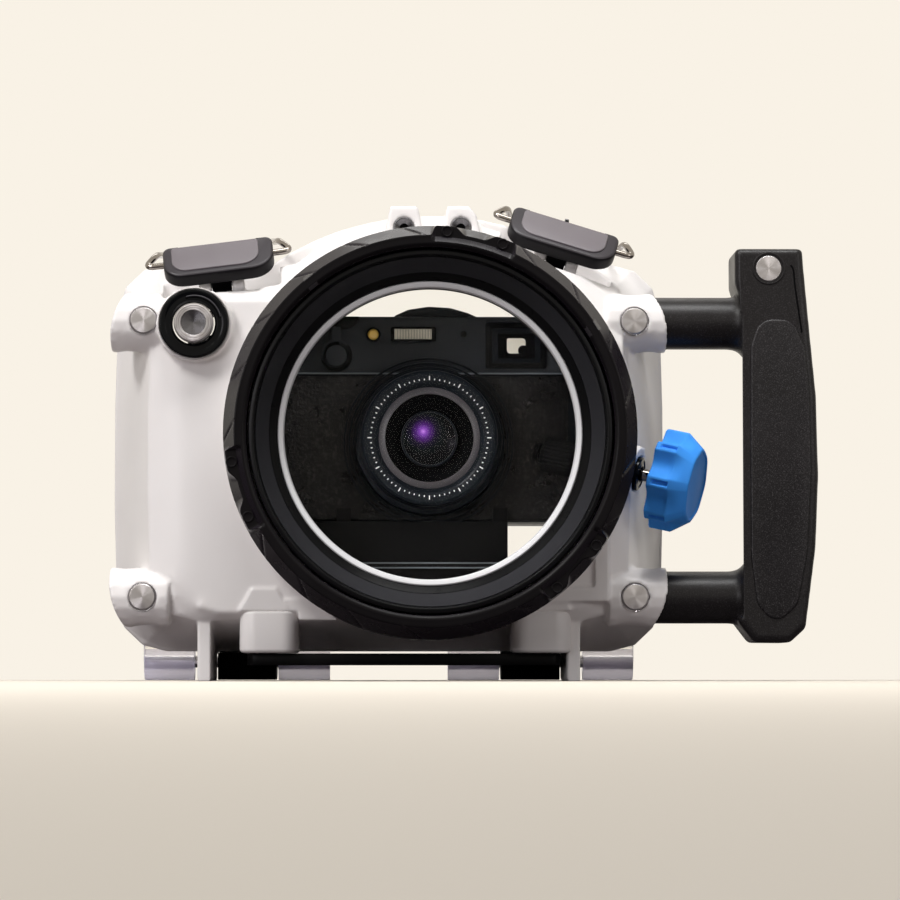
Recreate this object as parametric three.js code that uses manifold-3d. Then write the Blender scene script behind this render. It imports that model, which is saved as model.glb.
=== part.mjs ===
// Underwater camera housing with its camera inside.
// Millimetres. X to the right as seen from the front, Y from the port back to the door, Z up from the floor.
// Working frame: x = 0 on the housing's middle plane, y = 0 on the plane of the corner pins, z = 0 on the floor.
import * as THREE from "three";
import { mergeVertices } from "three/addons/utils/BufferGeometryUtils.js";
import Module from "manifold-3d";

const wasm = await Module();
wasm.setup();

// Clearances
const seatGap = 0.15;
const runningGap = 0.25;
const overrun = 1;

// Housing shell, section by section from the front
const frontHalfWidth = 66;
const frontLow = 22;
const frontHigh = 123;
const frontCorner = 12;
const browY = 4;
const browHalfWidth = 76.5;
const browLow = 19.5;
const browHigh = 126;
const browCorner = 14;
const shoulderY = 16;
const shoulderHalfWidth = 80.5;
const shoulderLow = 17;
const shoulderHigh = 129.5;
const shoulderCorner = 16;
const flareY = 40;
const flareHalfWidth = 88.5;
const flareLow = 11;
const flareHigh = 138.5;
const flareCorner = 17;
const flangeFrontY = 42;
const flangeBackY = 52;
const flangeHalfWidth = 90;
const flangeLow = 9.8;
const flangeHigh = 139.5;
const flangeCorner = 16;
const sideBulge = 1.7;
const wall = 4;
const flangeWall = 9;

// Arch round the port
const archX = 14;
const archTop = 154.6;
const archRadius = 94;
const archHalfSpan = 62;
const archDepth = 32;
const archFrontDrop = 16;

// Corner bosses and their pins
const bossRadius = 9.7;
const bossUpperZ = 116.5;
const bossLowerZ = 27.1;
const bossEndX = 90.4;
const bossInnerX = 71;
const bossEndRadius = 28;
const bossEndShift = 6;
const pinX = 79.5;
const pinRadius = 4.35;
const pinDepth = 9;
const pinProud = 0.2;

// Top lugs
const lugLeftX = 4.8;
const lugPitch = 18.5;
const lugHalfFoot = 7;
const lugHalfTop = 4.5;
const lugTop = 154.2;
const lugFootZ = 142;
const lugFrontY = 3;
const lugBackY = 20;
const insertRadius = 3.3;
const insertZ = 147.2;
const insertDepth = 8;

// Feet, tabs and fins under the shell
const footSpan = 88;
const footMiddleX = 5.3;
const footRadius = 9.5;
const footLow = 10.3;
const footHigh = 22.4;
const footCorner = 5.5;
const footBevel = 0.9;
const footFrontY = -1.5;
const footBackY = 32;
const spacerInset = 2.6;
const gussetHigh = 29.6;
const gussetShift = 1.5;
const gussetHalfFoot = 8;
const gussetHalfTop = 3.9;
const tabNearTop = 5;
const tabNearLow = 9.7;
const tabFarLow = 22.8;
const tabFarTop = 14;
const tabLow = 19.4;
const tabHigh = 26.2;
const tabFrontY = -0.8;
const finX = 59.7;
const finThick = 4.4;
const finFrontY = 4;
const finBackY = 50;
const finHigh = 20;

// Raised frame on the front face, low on the right
const frameHalfWidth = 71;
const frameLow = 25.5;
const frameHigh = 47;
const frameLegWidth = 4.6;
const frameProud = 1.4;
const frameInnerX = 50;

// Port, on an axis along Y
const portX = 13;
const portZ = 78.3;
const barrelRadius = 57.2;
const barrelBoreGap = 0.4;
const collarWall = 2.6;
const collarStep = 3.4;
const collarBore = barrelRadius + barrelBoreGap;
const collarOuter = collarBore + collarWall;
const collarBaseRadius = collarOuter + collarStep;
const collarBaseY = -7.4;
const collarFrontY = -20;
const wallLip = 4.2;
const wallBore = barrelRadius - wallLip;
const skirtGap = 0.4;
const ringWall = 4.7;
const skirtBore = collarOuter + skirtGap;
const ringRadius = skirtBore + ringWall;
const ringFrontY = -38;
const ringBackY = -8;
const ringChamferY = -31;
const ringChamfer = 3.6;
const lipGap = 0.7;
const ringLipRadius = barrelRadius + lipGap;
const ringLipBackY = -26.2;
const notchCount = 3;
const notchFirstDegrees = 77.1;
const notchHalfDegrees = 11.6;
const notchLobeDegrees = 6.3;
const notchFacetDegrees = 2.5;
const notchEdgeDegrees = 1.6;
const notchDeep = 1.4;
const notchSlope = 1.3;
const notchRimWide = 1.9;
const barrelFrontY = -36.6;
const barrelBackY = -3;
const barrelFlangeWide = 3;
const barrelFlangeRadius = barrelRadius + barrelFlangeWide;
const barrelFlangeThick = 2.6;
const flangeGap = 0.4;
const barrelLip = 1.9;
const barrelMouth = barrelRadius - barrelLip;
const barrelMouthY = -35.2;
const coneWide = 4.2;
const coneBackY = -28.6;
const barrelThroat = barrelMouth - coneWide;
const throatStep = 2.9;
const rimWide = 1.9;
const rimOuter = barrelThroat - throatStep;
const rimInner = rimOuter - rimWide;
const rimFrontY = -26;
const glassRadius = rimOuter;
const glassFrontY = -23.5;
const glassThick = 4;
const glassLedge = rimInner;
const glassLedgeThick = 2.6;
const barrelWall = 5.2;
const barrelBack = barrelRadius - barrelWall;
const sealRadius = 1.2;
const sealY = -12;

// Shutter control
const shutterX = -63;
const shutterZ = 115.1;
const shutterPadRadius = 12.3;
const shutterPadY = -3;
const shutterRimHigh = 1;
const shutterCollarRadius = 11.2;
const shutterCollarThick = 2.6;
const shutterNeckRadius = 8.4;
const shutterNeckBackY = 6;
const buttonRadius = 6.4;
const buttonFrontY = -7.2;
const buttonBackY = -3.4;
const buttonDish = 3.7;
const buttonDishDepth = 0.8;
const buttonStemRadius = 2;
const buttonStemBackY = 15.6;
const buttonTravel = 2;
const buttonSeatGap = 0.4;
const springRadius = 4.2;
const springWire = 0.45;
const springTurns = 2;
const springBackY = 3.4;
const arcInner = 8;
const arcOuter = 9.1;
const arcDepth = 0.7;
const arcFromDegrees = 10;
const arcToDegrees = 105;
const armGap = 0.3;
const armThick = 3;
const armPivotZ = 104;
const armTopZ = 121.2;
const armFingerThick = 2;
const armHalfWidth = 3;
const armBarrelRadius = 3.4;
const armPinRadius = 2;
const armPinLength = 7;
const armBossX = 69.2;
const armBossRadius = 5;

// Side control, on a slanted axis through the right wall
const knobAxis = new THREE.Vector3(0.93, -0.29, -0.215).normalize();
const glandClear = 0.5;
const glandX = Math.max(browHalfWidth, shoulderHalfWidth, portX + collarBaseRadius) + glandClear;
const glandY = 7.5;
const glandZ = 67.3;
const glandRadius = 5.5;
const glandThick = 3;
const glandProud = 1;
const glandPadRadius = 9;
const glandPadLength = 8;
const knobShaftRadius = 2;
const knobReach = 14.2;
const knobRadius = 16;
const knobWidth = 15;
const knobLobes = 8;
const knobLobeDepth = 1.7;
const knobBevel = 1.6;
const shaftDepthShare = 0.7;
const rollerReach = -27.5;
const rollerRadius = 5.6;
const rollerLength = 11;

// Handle
const handleTubeRadius = 8.5;
const handleY = 9.5;
const tubeSeatX = 74;
const knobToGrip = 34.4;
const gripInnerX = glandX + knobToGrip;
const tubeInGrip = 7.6;
const tubeEndX = gripInnerX + tubeInGrip;
const gripLow = 12.4;
const gripHigh = 140.4;
const gripWideLow = 20.4;
const gripWideHigh = 19.2;
const gripOuterLowX = gripInnerX + gripWideLow;
const gripOuterHighX = gripInnerX + gripWideHigh;
const gripOuterBulge = 4.2;
const gripHalfDepth = 13;
const gripCorner = 7;
const gripFootChamfer = 5;
const gripBevel = 3.5;
const footCollarHigh = 37.5;
const footCollarLow = 6;
const headReach = 4.4;
const headInnerX = gripInnerX - headReach;
const headLow = 124;
const headRound = 4;
const panelLow = 21.5;
const panelHigh = 117.5;
const panelInset = 2.8;
const panelInnerX = gripInnerX + panelInset;
const panelMargin = 4;
const panelThick = 2.2;
const panelProud = 0.5;
const gripPinInset = 7.4;
const gripPinX = gripInnerX + gripPinInset;
const gripPinZ = 133.3;

// Base plate
const plateLow = 5.1;
const plateThick = 3.8;
const plateLeftX = -45.8;
const plateRightX = 55.7;
const plateBehindBrow = 0.3;
const plateFrontY = browY + plateBehindBrow;
const plateBackY = 32;
const plateCorner = 3.5;
const screwHeadRadius = 4;
const screwShankRadius = 2;
const screwLength = 14;
const screwHeadThick = 2.2;
const screwHeadSunk = 0.2;
const screwY = 14;

// Latches, each in a frame on its pivot: u along the lever, v back, w up
const latchY = 11.9;
const latchLeftX = -54.8;
const latchLeftZ = 130;
const latchLeftTilt = 7;
const latchRightX = 54.7;
const latchRightZ = 138;
const latchRightTilt = -17;
const leverHalfLength = 18;
const leverHalfWidth = 7.25;
const leverThick = 5;
const leverLift = 4.5;
const leverShift = 1.5;
const leverLean = 45;
const bailShift = 3.6;
const leverPanelInset = 3;
const leverBevel = 1.1;
const leverPanelHigh = 0.8;
const leverTopRound = 2.6;
const leverLowRound = 6.6;
const leverNotch = 1;
const lugHalfWidth = 3.2;
const leverLugRadius = 3.2;
const latchPinRadius = 1.5;
const earThick = 4;
const earRadius = 3.4;
const pocketHalfLength = 19.5;
const pocketWingHalf = 25.4;
const pocketWingFloor = 2.8;
const wingSlopeShare = 1.6;
const pocketFloor = 3.8;
const pocketWall = 3;
const pocketBack = 14;
const pocketFront = 40;
const pocketHigh = 60;
const wireRadius = 1.1;
const wireEnd = 14.5;
const wireApex = 23.8;
const wireShoulder = 19;
const wireBend = 4;
const barHalfLength = 16.4;
const barY = 55.4;
const barRiseLeft = 15;
const barRiseRight = 11.2;
const wireRunShares = [0.3, 0.56, 0.75];
const wireRiseShares = [0.62, 0.9, 0.98];
const clipWidth = 1.4;
const clipLength = 9;
const clipThick = 1;
const catchHalfLength = 11;
const catchRelief = 0.5;
const catchWallHigh = 2.2;
const catchWallGap = 0.9;
const catchDrop = 9;

// Rear door, hinged at its foot
const doorFrontY = 52.6;
const doorThick = 5.8;
const doorRimThick = 1.8;
const doorRimWidth = 3;
const doorLow = 8;
const hingeY = 60.2;
const hingeZ = 6.4;
const knuckleRadius = 6.2;
const knuckleOuterX = 65.5;
const knuckleEndX = 82.3;
const knuckleInnerX = 19.9;
const knuckleInnerEndX = 37.2;
const hingePinRadius = 2;
const hingeBlockInnerX = 37.7;
const hingeBlockOuterX = 57;
const hingeNotchOuterX = 65.5;
const hingeBlockFrontY = 43;
const hingeBlockTop = 9.4;
const hingeBlockLow = 0.3;
const doorNotchHigh = 14.4;
const sealInset = 3.4;
const sealWidth = 1.9;
const sealGrooveDepth = 2;
const doorSealProud = 0.3;

// Rear controls on the door
const padX = -42;
const padZ = 80;
const padPitch = 13;
const rearCapRadius = 4.6;
const rearCapFrontY = 62;
const rearCapBackY = 66;
const rearStemRadius = 1.6;
const rearTipRadius = 2.6;
const rearTipFrontY = 51.9;
const rearTipThick = 0.5;
const rearBossRadius = 6;
const rearBossBackY = 60;
const rearPocketDepth = 3;
const dialX = -30;
const dialZ = 106;
const dialRadius = 8;
const dialFrontY = 60.6;
const dialBackY = 66.4;
const dialTeeth = 14;
const dialToothDepth = 0.5;

// Camera and its tray
const cameraLeftX = -61;
const cameraRightX = 67;
const cameraLow = 52.8;
const cameraPlateZ = 100.7;
const cameraTop = 119.3;
const cameraFrontY = 24;
const shoulderDropX = -32;
const cameraShoulder = 114.2;
const cameraBackY = 50.3;
const cameraCorner = 9;
const coverThick = 0.8;
const coverLow = 53.2;
const humpHalfFoot = 14;
const humpHalfTop = 9;
const humpX = 13;
const humpHigh = 4.2;
const lensBaseRadius = 23.6;
const lensBaseY = 14;
const lensRadius = 22;
const lensFrontY = -3;
const lensNameRadius = 17.6;
const lensConeRadius = 14.3;
const lensConeY = -1;
const lensThroat = 9.2;
const lensThroatY = 5;
const frontGlassRadius = 8.9;
const frontGlassThick = 3;
const frontGlassCrown = 2;
const finderLeftX = 32;
const finderRightX = 50;
const finderLow = 103.8;
const finderHigh = 117.6;
const flashLeftX = 1.3;
const flashRightX = 13.4;
const flashLow = 110.8;
const flashHigh = 115;
const windowProud = 0.6;
const windowDepth = 1;
const lampX = -4.6;
const lampZ = 113;
const lampRadius = 1.8;
const selectorX = -17;
const selectorZ = 106.8;
const selectorRadius = 4.9;
const selectorProud = 3.4;
const selectorStemHalf = 1.4;
const selectorStemHigh = 9;
const releaseX = -44;
const releaseY = 30;
const releaseRadius = 4.4;
const releaseHigh = 1.1;
const trayLeftX = -25.7;
const trayRightX = 38.4;
const trayThick = 2.6;
const trayFrontY = 16;
const trayBackY = 46;
const trayFootZ = 22;
const tabInset = 9;
const trayTabWidth = 9.4;
const trayTabHigh = 4.4;
const trayScrewRadius = 5;
const trayScrewShank = 2.8;
const trayScrewHigh = 2.4;
const postRadius = 6;
const postX = 6;
const postY = 34;

// Facets
const springSteps = 8;
const gripSteps = 6;
const knobLobeSteps = 5;
const wireSteps = 36;
const roundSides = 16;
const smallSides = 10;
const portSides = 36;
const lensSides = 20;
const archSides = 72;
const cornerSteps = 3;
const sideSteps = 2;

const materialOf = (colour, roughness, metalness = 0, opacity = 1) =>
  new THREE.MeshStandardMaterial({ color: colour, roughness, metalness, opacity, transparent: opacity < 1 });
const white = materialOf(0xe9e5e1, 0.45);
const black = materialOf(0x1b1b1d, 0.5);
const nylon = materialOf(0x2a292b, 0.6);
const steel = materialOf(0xc9c6c2, 0.3, 1);
const blue = materialOf(0x3c8ce6, 0.5);
const clear = materialOf(0xbfb8d6, 0.1, 0, 0.35);
const glass = materialOf(0xe8eef2, 0.05, 0, 0.25);
const sealRubber = materialOf(0xd9cf9a, 0.6);
const darkRubber = materialOf(0x222222, 0.8);
const leather = materialOf(0x161616, 0.85);
const satin = materialOf(0x26282c, 0.4);
const pale = materialOf(0xdedad4, 0.35);

// Turns the faces of a closed geometry outwards.
function oriented(geometry) {
  const place = geometry.attributes.position;
  const index = geometry.index.array;
  const [a, b, c] = [new THREE.Vector3(), new THREE.Vector3(), new THREE.Vector3()];
  let volume = 0;
  for (let i = 0; i < index.length; i += 3) {
    a.fromBufferAttribute(place, index[i]);
    b.fromBufferAttribute(place, index[i + 1]);
    c.fromBufferAttribute(place, index[i + 2]);
    volume += a.dot(b.cross(c));
  }
  if (volume < 0) {
    for (let i = 0; i < index.length; i += 3) {
      [index[i], index[i + 1]] = [index[i + 1], index[i]];
    }
  }
  return geometry;
}

// A geometry whose shared corners are one vertex each, with its faces outwards.
function welded(geometry) {
  const bare = geometry.clone();
  for (const name of Object.keys(bare.attributes)) {
    if (name !== "position") bare.deleteAttribute(name);
  }
  const joined = mergeVertices(bare, seatGap / 1000);
  const index = [];
  for (let i = 0; i < joined.index.count; i += 3) {
    const corners = [0, 1, 2].map((k) => joined.index.getX(i + k));
    if (new Set(corners).size === 3) index.push(...corners);
  }
  joined.setIndex(index);
  return oriented(joined);
}

function solid(geometry, matrix = new THREE.Matrix4()) {
  const closed = welded(geometry.clone().applyMatrix4(matrix));
  return new wasm.Manifold(
    new wasm.Mesh({
      numProp: 3,
      vertProperties: new Float32Array(closed.attributes.position.array),
      triVerts: new Uint32Array(closed.index.array),
    }),
  );
}

function geometryOf(body) {
  const mesh = body.getMesh();
  const geometry = new THREE.BufferGeometry();
  geometry.setAttribute("position", new THREE.BufferAttribute(mesh.vertProperties, 3));
  geometry.setIndex(new THREE.BufferAttribute(mesh.triVerts, 1));
  geometry.computeVertexNormals();
  return geometry;
}

const join = (first, ...others) => others.reduce((sum, next) => sum.add(next), first);
const cut = (first, ...others) => others.reduce((rest, next) => rest.subtract(next), first);

// Closed skin over a list of rings with the same number of points, flat at both ends.
function loft(rings) {
  const count = rings[0].length;
  const places = rings.flat().flatMap((point) => point.toArray());
  const index = [];
  for (let r = 0; r + 1 < rings.length; r++) {
    for (let i = 0; i < count; i++) {
      const next = (i + 1) % count;
      const [a, b, c, d] = [r * count + i, r * count + next, (r + 1) * count + i, (r + 1) * count + next];
      index.push(a, b, d, a, d, c);
    }
  }
  const last = (rings.length - 1) * count;
  for (let i = 1; i + 1 < count; i++) {
    index.push(0, i + 1, i, last, last + i, last + i + 1);
  }
  const geometry = new THREE.BufferGeometry();
  geometry.setAttribute("position", new THREE.Float32BufferAttribute(places, 3));
  geometry.setIndex(index);
  return oriented(geometry);
}

// A ring round the Y axis whose closed section, a list of [radius, y], can change with the angle.
function swept(sectionAt, angles) {
  const places = [];
  const index = [];
  const size = sectionAt(0).length;
  for (const angle of angles) {
    for (const [radius, y] of sectionAt(angle)) {
      places.push(radius * Math.cos(angle), y, radius * Math.sin(angle));
    }
  }
  for (let a = 0; a < angles.length; a++) {
    const [here, there] = [a * size, ((a + 1) % angles.length) * size];
    for (let i = 0; i < size; i++) {
      const next = (i + 1) % size;
      index.push(here + i, here + next, there + next, here + i, there + next, there + i);
    }
  }
  const geometry = new THREE.BufferGeometry();
  geometry.setAttribute("position", new THREE.Float32BufferAttribute(places, 3));
  geometry.setIndex(index);
  return oriented(geometry);
}

// A body turned about the Y axis from a profile of [radius, y].
function turned(profile, sides) {
  const points = profile.map(([radius, y]) => new THREE.Vector2(radius, y));
  const open = points[0].x === 0 && points[points.length - 1].x === 0;
  if (!open) points.push(points[0].clone());
  return welded(new THREE.LatheGeometry(points, sides));
}

// A round bar along Y from y0 to y1.
function bar(radius, y0, y1, sides = roundSides, radiusBack = radius) {
  return new THREE.CylinderGeometry(radiusBack, radius, y1 - y0, sides).translate(0, (y0 + y1) / 2, 0);
}

const barAlongX = (radius, x0, x1, sides = roundSides) => bar(radius, x0, x1, sides).rotateZ(-Math.PI / 2);
const barAlongZ = (radius, z0, z1, sides = roundSides) => bar(radius, z0, z1, sides).rotateX(Math.PI / 2);

function box(x0, x1, y0, y1, z0, z1) {
  const geometry = new THREE.BoxGeometry(x1 - x0, y1 - y0, z1 - z0);
  return geometry.translate((x0 + x1) / 2, (y0 + y1) / 2, (z0 + z1) / 2);
}

// A plate from an outline of [x, z], with y from y0 to y1.
function plateXZ(outline, y0, y1, bevel = 0) {
  const shape = new THREE.Shape(outline.map(([x, z]) => new THREE.Vector2(x, z)));
  const geometry = new THREE.ExtrudeGeometry(shape, {
    depth: y1 - y0 - 2 * bevel,
    bevelEnabled: bevel > 0,
    bevelThickness: bevel,
    bevelSize: bevel,
    bevelOffset: -bevel,
    bevelSegments: 1,
    curveSegments: cornerSteps,
  });
  return geometry.rotateX(Math.PI / 2).translate(0, y1 - bevel, 0);
}

// A plate from an outline of [x, y], with z from z0 to z1.
function plateXY(outline, z0, z1, bevel = 0) {
  const shape = new THREE.Shape(outline.map(([x, y]) => new THREE.Vector2(x, y)));
  const geometry = new THREE.ExtrudeGeometry(shape, {
    depth: z1 - z0 - 2 * bevel,
    bevelEnabled: bevel > 0,
    bevelThickness: bevel,
    bevelSize: bevel,
    bevelOffset: -bevel,
    bevelSegments: 1,
    curveSegments: cornerSteps,
  });
  return geometry.translate(0, 0, z0 + bevel);
}

// A rectangle with its own radius at each corner: right top, left top, left bottom, right bottom.
function roundedBox(left, right, low, high, radii, steps = cornerSteps) {
  const corners = [
    [right, high, -1, -1],
    [left, high, 1, -1],
    [left, low, 1, 1],
    [right, low, -1, 1],
  ];
  return corners.flatMap(([x, y, inX, inY], quarter) => {
    const radius = radii[quarter];
    if (radius === 0) return [[x, y]];
    return Array.from({ length: steps + 1 }, (_, step) => {
      const angle = ((quarter + step / steps) * Math.PI) / 2;
      return [x + inX * radius + radius * Math.cos(angle), y + inY * radius + radius * Math.sin(angle)];
    });
  });
}

const evenRadii = (radius) => [radius, radius, radius, radius];

// One section of the shell: a rounded rectangle whose upright sides swell outwards.
function shellRing({ y, halfWidth, low, high, corner }, inset) {
  const [left, right] = [inset - halfWidth, halfWidth - inset];
  const radius = Math.max(corner - inset, wall / 2);
  const points = roundedBox(left, right, low + inset, high - inset, evenRadii(radius));
  const perCorner = cornerSteps + 1;
  const filled = points.flatMap((point, i) => {
    const endOfSide = i === 2 * perCorner - 1 || i === points.length - 1;
    if (!endOfSide) return [point];
    const next = points[(i + 1) % points.length];
    const between = Array.from({ length: sideSteps }, (_, step) => {
      const share = (step + 1) / (sideSteps + 1);
      return [point[0], THREE.MathUtils.lerp(point[1], next[1], share)];
    });
    return [point, ...between];
  });
  const middle = (low + high) / 2;
  const halfHeight = (high - low) / 2;
  return filled.map(([x, z]) => {
    const swell = sideBulge * (1 - ((z - middle) / halfHeight) ** 2);
    return new THREE.Vector3(x + Math.sign(x) * swell, y, z);
  });
}

const frontSection = { y: 0, halfWidth: frontHalfWidth, low: frontLow, high: frontHigh, corner: frontCorner };
const browSection = { y: browY, halfWidth: browHalfWidth, low: browLow, high: browHigh, corner: browCorner };
const shoulderSection = {
  y: shoulderY,
  halfWidth: shoulderHalfWidth,
  low: shoulderLow,
  high: shoulderHigh,
  corner: shoulderCorner,
};
const flareSection = { y: flareY, halfWidth: flareHalfWidth, low: flareLow, high: flareHigh, corner: flareCorner };
const flangeAt = (y) => ({ y, halfWidth: flangeHalfWidth, low: flangeLow, high: flangeHigh, corner: flangeCorner });

const archZ = archTop - archRadius;

// The arch's part of a block, cut off where it would leave the rounded rectangle.
function archBlock(profile, inset) {
  const round = solid(turned(profile, archSides).translate(archX, 0, archZ));
  const span = archHalfSpan - inset;
  const back = flangeBackY + archRadius;
  const keep = solid(box(archX - span, archX + span, -archRadius, back, portZ, archTop + overrun));
  return round.intersect(keep);
}

// Flange outline as a solid from y0 to y1: rounded rectangle and arch together.
function flangeBlock(y0, y1, inset) {
  const base = solid(loft([shellRing(flangeAt(y0), inset), shellRing(flangeAt(y1), inset)]));
  const radius = archRadius - inset;
  const arch = archBlock([[0, y0], [radius, y0], [radius, y1], [0, y1]], inset);
  return join(base, arch);
}

// The domed front of the arch, as [radius, y] from the front back to the flange.
function archProfile(inset, frontY, backY) {
  const steps = cornerSteps;
  const points = Array.from({ length: steps + 1 }, (_, step) => {
    const angle = ((step / steps) * Math.PI) / 2;
    const radius = archRadius - archFrontDrop * (1 - Math.sin(angle));
    return [radius - inset, frontY + (archDepth - frontY) * (1 - Math.cos(angle))];
  });
  return [[0, frontY], ...points, [archRadius - inset, backY], [0, backY]];
}

// Frame of a latch: on its pivot, turned in the plane of the front.
function latchFrame({ x, z, tilt }) {
  const turn = new THREE.Matrix4().makeRotationY(THREE.MathUtils.degToRad(-tilt));
  return new THREE.Matrix4().makeTranslation(x, latchY, z).multiply(turn);
}

const latches = [
  { side: "left", x: latchLeftX, z: latchLeftZ, tilt: latchLeftTilt, barRise: barRiseLeft },
  { side: "right", x: latchRightX, z: latchRightZ, tilt: latchRightTilt, barRise: barRiseRight },
];

const sides = [-1, 1];
const bossHeights = [bossLowerZ, bossUpperZ];
const lugCentres = [lugLeftX, lugLeftX + lugPitch];
const footX = (side) => footMiddleX + (side * footSpan) / 2;
const footCentres = sides.map(footX);
const plateTop = plateLow + plateThick;
const screwHeadLow = plateLow + screwHeadSunk;

// A boss ends in a curve that follows the corner of the housing's outline.
function bossSolid(side, z) {
  const [x0, x1] = side < 0 ? [-bossEndX, -bossInnerX] : [bossInnerX, bossEndX];
  const round = solid(barAlongX(bossRadius, x0, x1).translate(0, handleY, z));
  const endX = side * (bossEndX - bossEndRadius);
  const endZ = z + Math.sign(portZ - z) * bossEndShift;
  const end = bar(bossEndRadius, handleY - 2 * bossRadius, handleY + 2 * bossRadius, archSides);
  return round.intersect(solid(end.translate(endX, 0, endZ)));
}

const pinHole = (x, z) => solid(bar(pinRadius + seatGap, -bossRadius, pinDepth + seatGap).translate(x, 0, z));

// A wing opens out above its floor, so that its ends run smoothly into the arch.
const wingOutline = (half, low) => [
  [-half, low],
  [half, low],
  [half + (pocketHigh - low) * wingSlopeShare, pocketHigh],
  [-half - (pocketHigh - low) * wingSlopeShare, pocketHigh],
];

// The seat that each lever folds into, with shallow wings for the loops of its bail.
function pocket(latch) {
  const frame = latchFrame(latch);
  const half = pocketHalfLength;
  const wing = pocketWingHalf;
  const seat = box(-half, half, -pocketFront, pocketBack, -pocketFloor, pocketHigh);
  const wings = plateXZ(wingOutline(wing, pocketWingFloor), -pocketFront, pocketBack);
  return join(solid(seat, frame), solid(wings, frame));
}

function pocketWalls(latch) {
  const frame = latchFrame(latch);
  const half = pocketHalfLength + pocketWall;
  const wing = pocketWingHalf + pocketWall;
  const back = pocketBack + pocketWall;
  const seat = box(-half, half, -pocketFront, back, -pocketFloor - pocketWall, pocketHigh);
  const wings = plateXZ(wingOutline(wing, pocketWingFloor - pocketWall), -pocketFront, back);
  return join(solid(seat, frame), solid(wings, frame));
}

function ears(latch) {
  const frame = latchFrame(latch);
  const inner = lugHalfWidth + runningGap;
  return sides.map((side) => {
    const [x0, x1] = side < 0 ? [-inner - earThick, -inner] : [inner, inner + earThick];
    const round = solid(barAlongX(earRadius, x0, x1, smallSides), frame);
    const post = solid(box(x0, x1, -earRadius, earRadius, -pocketFloor - pocketWall / 2, 0), frame);
    return join(round, post);
  });
}

const earEnd = lugHalfWidth + runningGap + earThick;

const latchBore = (latch) => {
  const half = earEnd + overrun;
  return solid(barAlongX(latchPinRadius + seatGap, -half, half, smallSides), latchFrame(latch));
};

function lugSolid(x) {
  const outline = [
    [x - lugHalfFoot, lugFootZ],
    [x + lugHalfFoot, lugFootZ],
    [x + lugHalfTop, lugTop],
    [x - lugHalfTop, lugTop],
  ];
  return solid(plateXZ(outline, lugFrontY, lugBackY));
}

// The block of a foot, or the room it takes up with a gap all round.
function footBlock(side, gap, bevel) {
  const [left, right] = [footX(side) - footRadius - gap, footX(side) + footRadius + gap];
  const plan = roundedBox(left, right, footFrontY - gap, footBackY + gap, [footCorner, footCorner, 0, 0]);
  return solid(plateXY(plan, footLow - gap, footHigh + gap, bevel));
}

// Gusset on the shell over each foot.
function gussetSolid(side) {
  const middle = footX(side) + side * gussetShift;
  const outline = [
    [middle - gussetHalfFoot, footHigh + seatGap],
    [middle + gussetHalfFoot, footHigh + seatGap],
    [middle + gussetHalfTop, gussetHigh],
    [middle - gussetHalfTop, gussetHigh],
  ];
  return solid(plateXZ(outline, tabFrontY, browY));
}

// Small tab on the inner side of each foot.
function tabSolid(side) {
  const x = footX(side);
  const outline = [
    [x - side * tabNearTop, tabHigh],
    [x - side * tabNearLow, tabLow],
    [x - side * tabFarLow, tabLow],
    [x - side * tabFarTop, tabHigh],
  ];
  return cut(solid(plateXZ(outline, tabFrontY, browY + overrun)), footBlock(side, seatGap, 0));
}

function finSolid(side, gap = 0) {
  const half = finThick / 2 + gap;
  return solid(box(side * finX - half, side * finX + half, finFrontY - gap, finBackY, 0, finHigh + gap));
}

function frameSolid() {
  const outline = [
    [frameInnerX, frameLow],
    [frameHalfWidth, frameLow],
    [frameHalfWidth, frameHigh],
    [frameHalfWidth - frameLegWidth, frameHigh],
    [frameHalfWidth - frameLegWidth, frameLow + frameLegWidth],
    [frameInnerX, frameLow + frameLegWidth],
  ];
  return solid(plateXZ(outline, -frameProud, browY));
}

// Frame of the side control: its Y axis runs out along the shaft.
const glandPlace = new THREE.Vector3(glandX, glandY, glandZ);
const knobTurn = new THREE.Quaternion().setFromUnitVectors(new THREE.Vector3(0, 1, 0), knobAxis);
const knobFrame = new THREE.Matrix4().compose(glandPlace, knobTurn, new THREE.Vector3(1, 1, 1));

// The shell's walls without anything on them, grown by a gap.
function shellSkin(gap) {
  const rings = [frontSection, browSection, shoulderSection, flareSection, flangeAt(flangeFrontY), flangeAt(flangeBackY)];
  return solid(loft(rings.map((ring) => shellRing(ring, -gap))));
}

function shellOutside() {
  const collar = [
    [0, collarFrontY],
    [collarOuter, collarFrontY],
    [collarOuter, collarBaseY],
    [collarBaseRadius, collarBaseY],
    [collarBaseRadius, browY],
    [0, browY],
  ];
  return join(
    shellSkin(0),
    archBlock(archProfile(0, 0, flangeBackY), 0),
    solid(turned(collar, portSides).translate(portX, 0, portZ)),
    solid(bar(shutterPadRadius, shutterPadY - shutterRimHigh, shoulderY, lensSides).translate(shutterX, 0, shutterZ)),
    ...sides.flatMap((side) => bossHeights.map((z) => bossSolid(side, z))),
    ...lugCentres.map(lugSolid),
    ...sides.map(gussetSolid),
    ...sides.map(tabSolid),
    ...sides.map((side) => finSolid(side)),
    frameSolid(),
  );
}

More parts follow.
